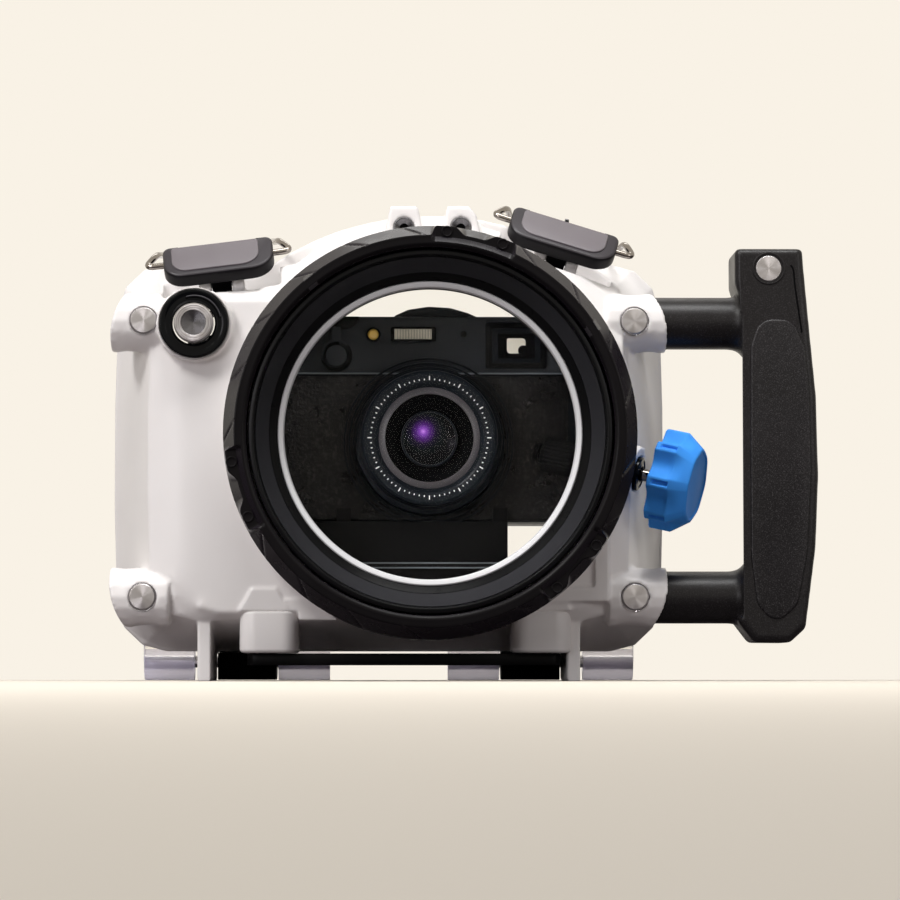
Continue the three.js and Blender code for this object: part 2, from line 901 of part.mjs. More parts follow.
// The hollow for the camera, left full round the latch seats, the bosses and the arm's bearing.
function shellCavity() {
  const innerRings = [
    { ...frontSection, y: wall },
    { ...browSection, y: browY + wall },
    shoulderSection,
    { ...flareSection, halfWidth: flareHalfWidth - wall, high: flareHigh - wall, low: flareLow + wall },
    { ...flangeAt(flangeBackY + overrun), halfWidth: flangeHalfWidth - wall, low: flangeLow + wall },
  ];
  const hollow = solid(loft(innerRings.map((ring) => shellRing(ring, wall))));
  const archHollow = archBlock(archProfile(flangeWall, wall, flangeBackY + overrun), flangeWall);
  const below = box(-frontHalfWidth, frontHalfWidth, -overrun, flangeBackY + 2 * overrun, 0, flangeLow + flangeWall);
  const bearing = barAlongX(armBossRadius, -bossEndX, -armBossX).translate(0, armY, armPivotZ);
  return cut(
    join(hollow, archHollow),
    solid(below),
    solid(bearing),
    ...latches.map(pocketWalls),
    ...sides.flatMap((side) => bossHeights.map((z) => bossSolid(side, z))),
  );
}

const armY = buttonStemBackY + armGap + armThick / 2;

function housingShell() {
  const post = solid(barAlongZ(postRadius, shoulderLow, trayFootZ - seatGap).translate(postX, postY, 0));
  const glandPad = solid(bar(glandPadRadius, -glandPadLength, -seatGap), knobFrame);
  const portPlace = (geometry) => solid(geometry.translate(portX, 0, portZ));
  const bodied = cut(
    join(cut(shellOutside(), shellCavity()), post, glandPad),
    portPlace(bar(collarBore, collarFrontY - overrun, barrelBackY + overrun, portSides)),
    portPlace(bar(wallBore, barrelBackY, wall + browY, portSides)),
    ...latches.map(pocket),
  );
  const groove = cut(
    flangeBlock(flangeBackY - sealGrooveDepth, flangeBackY + overrun, sealInset - seatGap),
    flangeBlock(flangeBackY - sealGrooveDepth - overrun, flangeBackY + 2 * overrun, sealInset + sealWidth + seatGap),
  );
  const shutterPlace = (geometry) => solid(geometry.translate(shutterX, 0, shutterZ));
  const knobSpan = glandPadLength + rollerLength;
  return cut(
    join(bodied, ...latches.flatMap(ears)),
    ...latches.map(latchBore),
    ...bossHeights.map((z) =>
      solid(barAlongX(handleTubeRadius + seatGap, tubeSeatX - seatGap, bossEndX + overrun).translate(0, handleY, z)),
    ),
    ...sides.flatMap((side) => bossHeights.map((z) => pinHole(side * pinX, z))),
    ...lugCentres.map((x) =>
      solid(
        bar(insertRadius + seatGap, lugFrontY - overrun, lugFrontY + insertDepth + seatGap, smallSides).translate(x, 0, insertZ),
      ),
    ),
    groove,
    shutterPlace(bar(shutterCollarRadius + seatGap, shutterPadY - 2 * overrun, shutterPadY, lensSides)),
    shutterPlace(bar(shutterNeckRadius + seatGap, shutterPadY - overrun, shoulderY + wall, lensSides)),
    solid(bar(knobShaftRadius + runningGap, -knobSpan, overrun, smallSides), knobFrame),
    solid(bar(glandRadius + seatGap, -glandThick + glandProud - seatGap, overrun), knobFrame),
    solid(
      barAlongX(armPinRadius + runningGap, -armBossX - armPinLength - runningGap, 0, smallSides).translate(0, armY, armPivotZ),
    ),
    ...footCentres.map((x) =>
      solid(
        barAlongZ(screwShankRadius + seatGap, 0, plateLow + screwLength + seatGap, smallSides).translate(x, screwY, 0),
      ),
    ),
  );
}

// Foot under the shell, held by the base plate's screw.
function shellFoot(side) {
  const x = footX(side);
  const spacer = solid(
    barAlongZ(footRadius - spacerInset, plateTop + seatGap, footLow + overrun).translate(x, screwY, 0),
  );
  const bore = barAlongZ(screwShankRadius + seatGap, 0, footHigh + overrun, smallSides);
  const skin = shellSkin(seatGap);
  const collar = bar(collarBaseRadius + seatGap, collarBaseY, browY + seatGap, portSides);
  return cut(
    join(footBlock(side, 0, footBevel), spacer),
    skin,
    skin.translate(0, -seatGap, 0),
    solid(collar.translate(portX, 0, portZ)),
    finSolid(side, seatGap),
    solid(bore.translate(x, screwY, 0)),
  );
}

// Handle grip: straight towards the housing, swelling on the far side.
function gripOuterAt(z) {
  const t = (z - gripLow) / (gripHigh - gripLow);
  return THREE.MathUtils.lerp(gripOuterLowX, gripOuterHighX, t) + gripOuterBulge * Math.sin(Math.PI * t);
}

function gripOutline() {
  const round = headRound;
  const from = gripLow + gripFootChamfer;
  const to = gripHigh - gripCorner;
  const outer = Array.from({ length: gripSteps + 1 }, (_, step) => {
    const z = THREE.MathUtils.lerp(from, to, step / gripSteps);
    return [gripOuterAt(z), z];
  });
  const top = gripOuterAt(gripHigh);
  return [
    [gripInnerX, gripLow],
    [gripOuterLowX - gripFootChamfer, gripLow],
    ...outer,
    [top - gripCorner * (1 - Math.SQRT1_2), gripHigh - gripCorner * (1 - Math.SQRT1_2)],
    [top - gripCorner, gripHigh],
    [headInnerX + round, gripHigh],
    [headInnerX, gripHigh - round],
    [headInnerX, headLow],
    [gripInnerX, headLow - round],
    [gripInnerX, footCollarHigh + round],
    [headInnerX, footCollarHigh],
    [headInnerX, gripLow + footCollarLow],
  ];
}

function panelOutline(inset) {
  const low = panelLow + inset;
  const high = panelHigh - inset;
  const inner = panelInnerX + inset;
  const half = (gripOuterAt(high) - panelMargin - inset - inner) / 2;
  const outer = Array.from({ length: gripSteps + 1 }, (_, step) => {
    const z = THREE.MathUtils.lerp(low + half, high - half, step / gripSteps);
    return [gripOuterAt(z) - panelMargin - inset, z];
  });
  const cap = (z, from) =>
    Array.from({ length: 2 * cornerSteps - 1 }, (_, step) => {
      const angle = from + ((step + 1) / (2 * cornerSteps)) * Math.PI;
      const reach = (gripOuterAt(z) - panelMargin - inset - inner) / 2;
      return [inner + reach + reach * Math.cos(angle), z + half * Math.sin(angle)];
    });
  return [...outer, ...cap(high - half, 0), [inner, high - half], [inner, low + half], ...cap(low + half, Math.PI)];
}

function handleGrip() {
  const [y0, y1] = [handleY - gripHalfDepth, handleY + gripHalfDepth];
  const place = (geometry) => solid(geometry.translate(gripPinX, 0, gripPinZ));
  return cut(
    solid(plateXZ(gripOutline(), y0, y1, gripBevel)),
    ...bossHeights.map((z) =>
      solid(barAlongX(handleTubeRadius + seatGap, headInnerX - overrun, tubeEndX + seatGap).translate(0, handleY, z)),
    ),
    solid(plateXZ(panelOutline(-seatGap), y0 - overrun, y0 + panelThick - panelProud + seatGap)),
    place(bar(pinRadius + seatGap, y0 - overrun, y0 + pinDepth + seatGap)),
  );
}

function handlePanel() {
  const front = handleY - gripHalfDepth - panelProud;
  return welded(plateXZ(panelOutline(0), front, front + panelThick));
}

function basePlate() {
  const screwSeat = join(
    solid(barAlongZ(screwShankRadius + seatGap, 0, plateTop + overrun, smallSides)),
    solid(barAlongZ(screwHeadRadius + seatGap, 0, screwHeadLow + screwHeadThick + seatGap, smallSides)),
  );
  const outline = roundedBox(plateLeftX, plateRightX, plateFrontY, plateBackY, evenRadii(plateCorner));
  return cut(
    solid(plateXY(outline, plateLow, plateTop)),
    ...footCentres.map((x) => screwSeat.translate(x, screwY, 0)),
  );
}

// A screw along Z, its head let into the plate.
function baseScrew() {
  const profile = [
    [0, screwHeadLow],
    [screwHeadRadius, screwHeadLow],
    [screwHeadRadius, screwHeadLow + screwHeadThick],
    [screwShankRadius, screwHeadLow + screwHeadThick],
    [screwShankRadius, plateLow + screwLength],
    [0, plateLow + screwLength],
  ];
  return turned(profile, smallSides).rotateX(Math.PI / 2);
}

// Port
function notchAway(angle) {
  const degrees = THREE.MathUtils.radToDeg(angle);
  const pitch = 360 / notchCount;
  const turn = (((degrees - notchFirstDegrees) % pitch) + pitch) % pitch;
  return Math.min(turn, pitch - turn);
}

function ringAngles() {
  const degrees = Array.from({ length: portSides }, (_, i) => (i * 360) / portSides);
  const marks = [
    notchHalfDegrees + notchEdgeDegrees,
    notchHalfDegrees,
    notchHalfDegrees - notchEdgeDegrees / 2,
    notchLobeDegrees,
    notchFacetDegrees,
  ];
  const edges = [];
  for (let n = 0; n < notchCount; n++) {
    const centre = notchFirstDegrees + (n * 360) / notchCount;
    edges.push(...marks.flatMap((mark) => [centre - mark, centre + mark]));
  }
  const wrapped = edges.map((value) => (value + 360) % 360);
  const clear = degrees.filter((value) => wrapped.every((edge) => Math.abs(edge - value) > notchEdgeDegrees));
  return [...clear, ...wrapped].sort((a, b) => a - b).map((value) => THREE.MathUtils.degToRad(value));
}

// Each section has its sloping band, and in a notch a face sunk behind the rim.
function lockRing() {
  const sunkBand = ringChamfer - (ringChamfer * notchDeep) / (ringChamferY - ringFrontY);
  const sectionAt = (angle) => {
    const away = notchAway(angle);
    const { clamp, lerp } = THREE.MathUtils;
    const sunk = clamp((notchHalfDegrees + notchEdgeDegrees - away) / notchEdgeDegrees, 0, 1);
    const facet = clamp((notchLobeDegrees - away) / (notchLobeDegrees - notchFacetDegrees), 0, 1);
    const band = lerp(ringChamfer, sunkBand * facet + seatGap, sunk);
    const face = ringFrontY + notchDeep * clamp((notchHalfDegrees + notchEdgeDegrees / 2 - away) / notchEdgeDegrees, 0, 1);
    const rim = ringLipRadius + notchRimWide;
    return [
      [ringLipRadius, ringFrontY],
      [rim, ringFrontY],
      [rim + notchSlope, face],
      [ringRadius - band, face],
      [ringRadius, ringChamferY],
      [ringRadius, ringBackY],
      [skirtBore, ringBackY],
      [skirtBore, ringLipBackY],
      [ringLipRadius, ringLipBackY],
    ];
  };
  return swept(sectionAt, ringAngles());
}

function portBarrel() {
  const flangeBack = collarFrontY - flangeGap;
  const flangeFront = flangeBack - barrelFlangeThick;
  const glassBack = glassFrontY + glassThick + seatGap;
  const [grooveFront, grooveBack] = [sealY - sealRadius - seatGap, sealY + sealRadius + seatGap];
  const grooveRadius = barrelRadius - 2 * sealRadius + seatGap;
  const profile = [
    [barrelMouth, barrelFrontY],
    [barrelRadius, barrelFrontY],
    [barrelRadius, flangeFront],
    [barrelFlangeRadius, flangeFront],
    [barrelFlangeRadius, flangeBack],
    [barrelRadius, flangeBack],
    [barrelRadius, grooveFront],
    [grooveRadius, grooveFront],
    [grooveRadius, grooveBack],
    [barrelRadius, grooveBack],
    [barrelRadius, barrelBackY],
    [barrelBack, barrelBackY],
    [barrelBack, glassBack + glassLedgeThick],
    [glassLedge, glassBack + glassLedgeThick],
    [glassLedge, glassBack],
    [glassRadius + seatGap, glassBack],
    [rimOuter + seatGap, rimFrontY],
    [barrelThroat, coneBackY],
    [barrelMouth, barrelMouthY],
  ];
  return turned(profile, portSides);
}

function ringBody(inner, outer, y0, y1, steps) {
  return turned(
    [
      [inner, y0],
      [outer, y0],
      [outer, y1],
      [inner, y1],
    ],
    steps,
  );
}

function portSeal() {
  const middle = barrelRadius - sealRadius + seatGap + seatGap;
  return ringBody(middle - sealRadius, middle + sealRadius, sealY - sealRadius, sealY + sealRadius, portSides);
}

// Shutter control
function shutterCollar() {
  const bore = buttonRadius + runningGap;
  const floor = buttonBackY + buttonTravel + buttonSeatGap;
  const chamber = springRadius + springWire + runningGap;
  const profile = [
    [bore, shutterPadY - shutterCollarThick],
    [shutterCollarRadius, shutterPadY - shutterCollarThick],
    [shutterCollarRadius, shutterPadY - seatGap],
    [shutterNeckRadius, shutterPadY - seatGap],
    [shutterNeckRadius, shutterNeckBackY],
    [buttonStemRadius + runningGap, shutterNeckBackY],
    [buttonStemRadius + runningGap, springBackY + runningGap],
    [chamber, springBackY + runningGap],
    [chamber, floor],
    [bore, floor],
  ];
  const [from, to] = [arcFromDegrees, arcToDegrees].map(THREE.MathUtils.degToRad);
  const arc = (radius, start, end) =>
    Array.from({ length: 2 * cornerSteps + 1 }, (_, step) => {
      const angle = THREE.MathUtils.lerp(start, end, step / (2 * cornerSteps));
      return [radius * Math.cos(angle), radius * Math.sin(angle)];
    });
  const front = shutterPadY - shutterCollarThick;
  const groove = plateXZ([...arc(arcOuter, from, to), ...arc(arcInner, to, from)], front - overrun, front + arcDepth);
  return cut(solid(turned(profile, lensSides)), solid(groove));
}

function shutterButton() {
  const profile = [
    [0, buttonFrontY + buttonDishDepth],
    [buttonDish, buttonFrontY + buttonDishDepth / 2],
    [buttonDish + buttonDishDepth, buttonFrontY],
    [buttonRadius - buttonDishDepth, buttonFrontY],
    [buttonRadius, buttonFrontY + buttonDishDepth],
    [buttonRadius, buttonBackY],
    [buttonStemRadius, buttonBackY],
    [buttonStemRadius, buttonStemBackY],
    [0, buttonStemBackY],
  ];
  return turned(profile, lensSides);
}

// A round wire along a path, with flat ends.
function wire(path, radius, steps, around = 6) {
  const section = Array.from({ length: around }, (_, i) => {
    const angle = (i / around) * 2 * Math.PI;
    return new THREE.Vector2(radius * Math.cos(angle), radius * Math.sin(angle));
  });
  return welded(new THREE.ExtrudeGeometry(new THREE.Shape(section), { steps, bevelEnabled: false, extrudePath: path }));
}

class Helix extends THREE.Curve {
  constructor(radius, y0, y1, turns) {
    super();
    Object.assign(this, { radius, y0, y1, turns });
  }
  getPoint(t, target = new THREE.Vector3()) {
    const angle = t * this.turns * 2 * Math.PI;
    const y = THREE.MathUtils.lerp(this.y0, this.y1, t);
    return target.set(this.radius * Math.cos(angle), y, this.radius * Math.sin(angle));
  }
}

function shutterSpring() {
  const front = buttonBackY + buttonTravel + runningGap + springWire;
  const path = new Helix(springRadius, front, springBackY - springWire, springTurns);
  return wire(path, springWire, springTurns * springSteps, 5);
}

// Arm inside the housing: the push on its leg swings the finger down on the camera's release.
function shutterArm() {
  const legFront = -armThick / 2;
  const [inner, outer] = [-armHalfWidth, armHalfWidth];
  const top = armTopZ - armPivotZ;
  const fingerLow = top - armFingerThick;
  const reachX = releaseX - shutterX;
  const reachY = releaseY - armY + armHalfWidth;
  const pinEnd = armBossX + armPinLength + shutterX;
  const barrelEnd = armBossX - runningGap + shutterX;
  return join(
    solid(barAlongX(armBarrelRadius, -barrelEnd, outer, smallSides)),
    solid(barAlongX(armPinRadius, -pinEnd, outer, smallSides)),
    solid(box(inner, outer, legFront, armThick / 2, 0, top)),
    solid(box(inner, reachX + armHalfWidth, legFront, armThick / 2, fingerLow, top)),
    solid(box(reachX - armHalfWidth, reachX + armHalfWidth, legFront, reachY, fingerLow, top)),
  );
}

// Side control, along its own Y axis
function blueKnob() {
  const count = knobLobes * knobLobeSteps;
  const outline = Array.from({ length: count }, (_, i) => {
    const angle = (i / count) * 2 * Math.PI;
    const radius = knobRadius - knobLobeDepth * (0.5 + 0.5 * Math.cos(angle * knobLobes)) ** 2;
    return [radius * Math.cos(angle), radius * Math.sin(angle)];
  });
  const inner = knobReach - knobWidth / 2;
  const body = solid(plateXZ(outline, inner, inner + knobWidth, knobBevel));
  return cut(body, solid(bar(knobShaftRadius + seatGap, inner - overrun, inner + knobWidth * shaftDepthShare)));
}

function knobShaft() {
  const inner = knobReach - knobWidth / 2;
  const back = rollerReach - rollerLength / 2 - overrun;
  return bar(knobShaftRadius, back, inner + knobWidth * shaftDepthShare - seatGap);
}

const knobRoller = () =>
  ringBody(
    knobShaftRadius + seatGap,
    rollerRadius,
    rollerReach - rollerLength / 2,
    rollerReach + rollerLength / 2,
    roundSides,
  );

const knobGland = () =>
  ringBody(knobShaftRadius + runningGap, glandRadius, glandProud - glandThick, glandProud, roundSides);

// Latches, in the frame of their pivot
const leverMiddle = leverLift + leverThick / 2;
const bailPivotY = (bailShift - leverMiddle) * Math.SQRT1_2;
const bailPivotZ = (bailShift + leverMiddle) * Math.SQRT1_2;
const bailPivot = new THREE.Vector3(0, bailPivotY, bailPivotZ);
const lean = new THREE.Matrix4().makeRotationX(THREE.MathUtils.degToRad(leverLean));

function latchLever() {
  const [low, high] = [leverShift - leverHalfWidth, leverShift + leverHalfWidth];
  const top = leverLift + leverThick;
  const radii = [leverTopRound, leverTopRound, leverLowRound, leverLowRound];
  const outline = roundedBox(-leverHalfLength, leverHalfLength, low, high, radii);
  const half = leverHalfLength - leverPanelInset;
  const panelRadii = [leverTopRound / 2, leverTopRound / 2, leverLowRound - leverPanelInset, leverLowRound - leverPanelInset];
  const panel = roundedBox(-half, half, low + leverPanelInset, high - leverPanelInset, panelRadii);
  const body = join(
    solid(plateXY(outline, leverLift, top, leverBevel), lean),
    solid(plateXY(panel, top - overrun, top + leverPanelHigh), lean),
    solid(barAlongX(leverLugRadius, -lugHalfWidth, lugHalfWidth, smallSides), lean),
    solid(box(-lugHalfWidth, lugHalfWidth, -leverLugRadius, leverLugRadius, 0, leverLift + overrun), lean),
  );
  const hole = sides.map((side) => {
    const [x0, x1] = side < 0 ? [-leverHalfLength - overrun, -wireEnd + runningGap] : [wireEnd - runningGap, leverHalfLength + overrun];
    return solid(barAlongX(wireRadius + runningGap, x0, x1, smallSides).translate(0, bailShift, leverMiddle), lean);
  });
  const boreHalf = lugHalfWidth + overrun;
  const bore = solid(barAlongX(latchPinRadius + runningGap, -boreHalf, boreHalf, smallSides));
  const clipHalf = clipLength / 2 + seatGap;
  const clipSeat = box(-clipHalf, clipHalf, high - leverNotch - seatGap, high + overrun, leverMiddle - clipWidth, top + overrun);
  return cut(body, ...hole, bore, solid(clipSeat, lean));
}

function latchClip() {
  const high = leverShift + leverHalfWidth;
  const top = leverLift + leverThick;
  const half = clipLength / 2;
  const clip = box(-half, half, high - leverNotch, high - leverNotch + clipThick, leverMiddle - clipWidth + seatGap, top);
  return welded(clip.applyMatrix4(lean));
}

const latchPin = () => barAlongX(latchPinRadius, -earEnd, earEnd, smallSides);

// Bent wire from the lever's two ends back over the flange to a cross bar.
function latchBail({ barRise }) {
  const run = barY - latchY - bailPivot.y;
  const rise = barRise - bailPivot.z;
  const widths = [wireShoulder, wireShoulder - wireRadius, barHalfLength];
  const side = wireRunShares.map((share, i) => new THREE.Vector3(widths[i], run * share, rise * wireRiseShares[i]));
  const half = [
    new THREE.Vector3(wireEnd, 0, 0),
    new THREE.Vector3(wireApex, 0, 0),
    ...side,
    new THREE.Vector3(barHalfLength, run, rise),
  ];
  const mirrored = half.map((point) => new THREE.Vector3(-point.x, point.y, point.z)).reverse();
  return wire(rounded([...half, ...mirrored], wireBend), wireRadius, wireSteps);
}

// Straight runs through the points with rounded corners.
function rounded(points, radius) {
  const path = new THREE.CurvePath();
  let from = points[0];
  for (let i = 1; i + 1 < points.length; i++) {
    const corner = points[i];
    const reachIn = Math.min(radius, corner.distanceTo(points[i - 1]) / 2);
    const reachOut = Math.min(radius, corner.distanceTo(points[i + 1]) / 2);
    const start = corner.clone().lerp(points[i - 1], reachIn / corner.distanceTo(points[i - 1]));
    const end = corner.clone().lerp(points[i + 1], reachOut / corner.distanceTo(points[i + 1]));
    if (from.distanceTo(start) > seatGap) path.add(new THREE.LineCurve3(from, start));
    path.add(new THREE.QuadraticBezierCurve3(start, corner, end));
    from = end;
  }
  path.add(new THREE.LineCurve3(from, points[points.length - 1]));
  return path;
}

// Rear door
const doorBackY = doorFrontY + doorThick;
const rearButtons = [
  [0, 0],
  [0, 1],
  [0, -1],
  [-1, 0],
  [1, 0],
].map(([across, up]) => [padX + across * padPitch, padZ + up * padPitch]);

function catchSolid(latch) {
  const frame = latchFrame(latch);
  const low = latch.barRise - wireRadius - catchRelief;
  const wallFront = barY - latchY + wireRadius + catchWallGap;
  const wallBack = doorBackY + doorRimThick - latchY;
  const half = catchHalfLength;
  return join(
    solid(box(-half, half, doorFrontY - latchY, wallBack, low - catchDrop, low), frame),
    solid(box(-half, half, wallFront, wallBack, low - overrun, latch.barRise + catchWallHigh), frame),
  );
}

function knuckles() {
  const spans = [
    [knuckleOuterX, knuckleEndX],
    [knuckleInnerX, knuckleInnerEndX],
  ];
  return sides.flatMap((side) =>
    spans.map(([near, far]) => {
      const [x0, x1] = side < 0 ? [-far, -near] : [near, far];
      const barrel = solid(barAlongX(knuckleRadius, x0, x1).translate(0, hingeY, hingeZ));
      const web = solid(box(x0, x1, doorFrontY, doorBackY, hingeZ, flangeLow + wall));
      return join(barrel, web);
    }),
  );
}

function rearDoor() {
  const rim = cut(
    flangeBlock(doorBackY - overrun, doorBackY + doorRimThick, 0),
    flangeBlock(doorBackY - 2 * overrun, doorBackY + doorRimThick + overrun, doorRimWidth),
  );
  const place = ([x, z], geometry) => solid(geometry.translate(x, 0, z));
  const boss = () => bar(rearBossRadius, doorBackY - overrun, rearBossBackY, smallSides);
  const notches = sides.map((side) => {
    const [x0, x1] = side < 0 ? [-hingeNotchOuterX, -knuckleInnerEndX] : [knuckleInnerEndX, hingeNotchOuterX];
    return solid(box(x0, x1, doorFrontY - overrun, doorBackY + doorRimThick + overrun, 0, doorNotchHigh));
  });
  const seal = box(-knuckleEndX, knuckleEndX, flangeFrontY, doorFrontY, -overrun, hingeZ + knuckleRadius + wall);
  const plate = cut(
    join(
      flangeBlock(doorFrontY, doorBackY, 0),
      rim,
      ...rearButtons.map((spot) => place(spot, boss())),
      place([dialX, dialZ], boss()),
      ...latches.map(catchSolid),
    ),
    ...notches,
  );
  const bores = [...rearButtons, [dialX, dialZ]].map((spot) =>
    place(spot, bar(rearStemRadius + runningGap, doorFrontY - overrun, rearBossBackY + overrun, smallSides)),
  );
  const bore = barAlongX(hingePinRadius + runningGap, -bossEndX, bossEndX, smallSides);
  const pinBore = solid(bore.translate(0, hingeY, hingeZ));
  return cut(join(plate, ...knuckles()), solid(seal), ...bores, pinBore);
}

function hingeBlock(side) {
  const [x0, x1] = side < 0 ? [-hingeBlockOuterX, -hingeBlockInnerX] : [hingeBlockInnerX, hingeBlockOuterX];
  return cut(
    join(
      solid(box(x0, x1, hingeBlockFrontY, hingeY, hingeBlockLow, hingeBlockTop)),
      solid(barAlongX(hingeZ - hingeBlockLow, x0, x1).translate(0, hingeY, hingeZ)),
    ),
    solid(barAlongX(hingePinRadius + seatGap, x0 - overrun, x1 + overrun, smallSides).translate(0, hingeY, hingeZ)),
  );
}

function hingePin(side) {
  const [x0, x1] = side < 0 ? [-knuckleEndX, -knuckleInnerX] : [knuckleInnerX, knuckleEndX];
  return barAlongX(hingePinRadius, x0, x1, smallSides).translate(0, hingeY, hingeZ);
}

function doorSeal() {
  const [front, back] = [flangeBackY - sealGrooveDepth + seatGap, flangeBackY + doorSealProud];
  return cut(
    flangeBlock(front, back, sealInset),
    flangeBlock(front - overrun, back + overrun, sealInset + sealWidth),
  );
}

function rearButton() {
  const profile = [
    [0, rearTipFrontY],
    [rearTipRadius, rearTipFrontY],
    [rearTipRadius, rearTipFrontY + rearTipThick],
    [rearStemRadius, rearTipFrontY + rearTipThick],
    [rearStemRadius, rearCapFrontY],
    [rearCapRadius, rearCapFrontY],
    [rearCapRadius, rearCapBackY - buttonDishDepth],
    [rearCapRadius - buttonDishDepth, rearCapBackY],
    [0, rearCapBackY],
  ];
  return turned(profile, smallSides);
}

function rearDial() {
  const shaft = [
    [0, rearTipFrontY],
    [rearTipRadius, rearTipFrontY],
    [rearTipRadius, rearTipFrontY + rearTipThick],
    [rearStemRadius, rearTipFrontY + rearTipThick],
    [rearStemRadius, dialFrontY + overrun],
    [0, dialFrontY + overrun],
  ];
  const outline = Array.from({ length: 2 * dialTeeth }, (_, i) => {
    const angle = (i / (2 * dialTeeth)) * 2 * Math.PI;
    const radius = dialRadius - (i % 2) * dialToothDepth;
    return [radius * Math.cos(angle), radius * Math.sin(angle)];
  });
  return join(solid(turned(shaft, smallSides)), solid(plateXZ(outline, dialFrontY, dialBackY)));
}

// Camera
const cameraOutline = (inset) =>
  roundedBox(
    cameraLeftX + inset,
    cameraRightX - inset,
    cameraFrontY + inset,
    cameraBackY - inset,
    evenRadii(cameraCorner - inset),
  );

function cameraBody() {
  const lensSeat = bar(lensBaseRadius + seatGap, cameraFrontY - overrun, cameraFrontY + seatGap, lensSides);
  return cut(
    solid(plateXY(cameraOutline(0), cameraLow, cameraPlateZ - seatGap)),
    solid(lensSeat.translate(portX, 0, portZ)),
    solid(
      barAlongZ(trayScrewShank + seatGap, cameraLow - overrun, cameraLow + wall + seatGap, smallSides).translate(postX, postY, 0),
    ),
  );
}

function cameraCover() {
  const [left, right] = [cameraLeftX + cameraCorner, cameraRightX - cameraCorner];
  const outline = roundedBox(left, right, coverLow, cameraPlateZ - coverThick, evenRadii(coverThick));
  const back = cameraFrontY - seatGap;
  return cut(
    solid(plateXZ(outline, back - coverThick, back)),
    solid(bar(lensBaseRadius + 2 * seatGap, back - 2 * coverThick, back + overrun, lensSides).translate(portX, 0, portZ)),
  );
}

// The camera's top plate with its front selector, and its release on the shoulder.
function cameraTopPlate() {
  const hump = [
    [humpX - humpHalfFoot, cameraTop - overrun],
    [humpX + humpHalfFoot, cameraTop - overrun],
    [humpX + humpHalfTop, cameraTop + humpHigh],
    [humpX - humpHalfTop, cameraTop + humpHigh],
  ];
  const front = cameraFrontY;
  const pane = (x0, x1, z0, z1) =>
    solid(box(x0 - seatGap, x1 + seatGap, front - overrun, front + windowDepth + seatGap, z0 - seatGap, z1 + seatGap));
  const high = 2 * cameraTop;
  const plate = cut(
    join(
      solid(plateXY(cameraOutline(0), cameraPlateZ, cameraTop)),
      solid(plateXZ(hump, front, cameraBackY - cameraCorner)),
      frontSelector(),
    ),
    solid(box(cameraLeftX - overrun, shoulderDropX, 0, cameraBackY + overrun, cameraShoulder, high)),
    pane(finderLeftX, finderRightX, finderLow, finderHigh),
    pane(flashLeftX, flashRightX, flashLow, flashHigh),
    solid(bar(lampRadius + seatGap, front - overrun, front + windowDepth + seatGap).translate(lampX, 0, lampZ)),
  );
  return join(plate, solid(releaseButton()));
}

const windowPane = (x0, x1, z0, z1) => box(x0, x1, cameraFrontY - windowProud, cameraFrontY + windowDepth, z0, z1);

function cameraLens() {
  const profile = [
    [0, cameraFrontY],
    [0, lensThroatY],
    [lensThroat, lensThroatY],
    [lensThroat, lensThroatY - frontGlassThick],
    [lensConeRadius, lensConeY],
    [lensNameRadius, lensConeY],
    [lensNameRadius, lensFrontY],
    [lensRadius, lensFrontY],
    [lensRadius, lensBaseY],
    [lensBaseRadius, lensBaseY],
    [lensBaseRadius, cameraFrontY],
  ];
  return turned(profile.concat([[0, cameraFrontY]]), lensSides);
}

function lensFrontGlass() {
  const back = lensThroatY - seatGap;
  const front = back - frontGlassThick;
  const dome = Array.from({ length: cornerSteps + 1 }, (_, step) => {
    const share = step / cornerSteps;
    return [frontGlassRadius * share, front - frontGlassCrown * (1 - share ** 2)];
  });
  return turned([...dome, [frontGlassRadius, back], [0, back]], roundSides);
}

function frontSelector() {
  const face = cameraFrontY - seatGap;
  const back = cameraFrontY + overrun;
  const round = bar(selectorRadius, face - selectorProud, back).translate(selectorX, 0, selectorZ);
  const half = selectorStemHalf;
  const stem = box(
    selectorX - half,
    selectorX + half,
    face - selectorProud,
    back,
    selectorZ,
    selectorZ + selectorStemHigh,
  );
  return join(solid(round), solid(stem));
}

const releaseButton = () =>
  barAlongZ(releaseRadius, cameraShoulder - overrun, cameraShoulder + seatGap + releaseHigh).translate(releaseX, releaseY, 0);

// Tray that carries the camera inside the housing
function cameraTray() {
  const top = cameraLow - seatGap - seatGap;
  const floor = trayFootZ;
  const tabs = [trayLeftX + tabInset, trayRightX - trayTabWidth / 2].map((x) =>
    solid(box(x, x + trayTabWidth / 2, trayFrontY + trayThick / 2, trayFrontY + 2 * trayThick, top - overrun, top + trayTabHigh)),
  );
  return cut(
    join(
      solid(box(trayLeftX, trayRightX, trayFrontY, trayBackY, top - trayThick, top)),
      solid(box(trayLeftX, trayRightX, trayFrontY, trayFrontY + trayThick, floor, top)),
      solid(box(postX - postRadius, postX + postRadius, trayFrontY, postY + postRadius, floor, floor + trayThick)),
      ...tabs,
    ),
    solid(barAlongZ(trayScrewShank + seatGap, top - 2 * trayThick, top + overrun, smallSides).translate(postX, postY, 0)),
  );
}

function trayScrew() {
  const under = cameraLow - 2 * seatGap - trayThick - seatGap;
  const profile = [
    [0, under - trayScrewHigh],
    [trayScrewRadius, under - trayScrewHigh],
    [trayScrewRadius, under],
    [trayScrewShank, under],
    [trayScrewShank, cameraLow + wall],
    [0, cameraLow + wall],
  ];
  return turned(profile, smallSides).rotateX(Math.PI / 2).translate(postX, postY, 0);
}

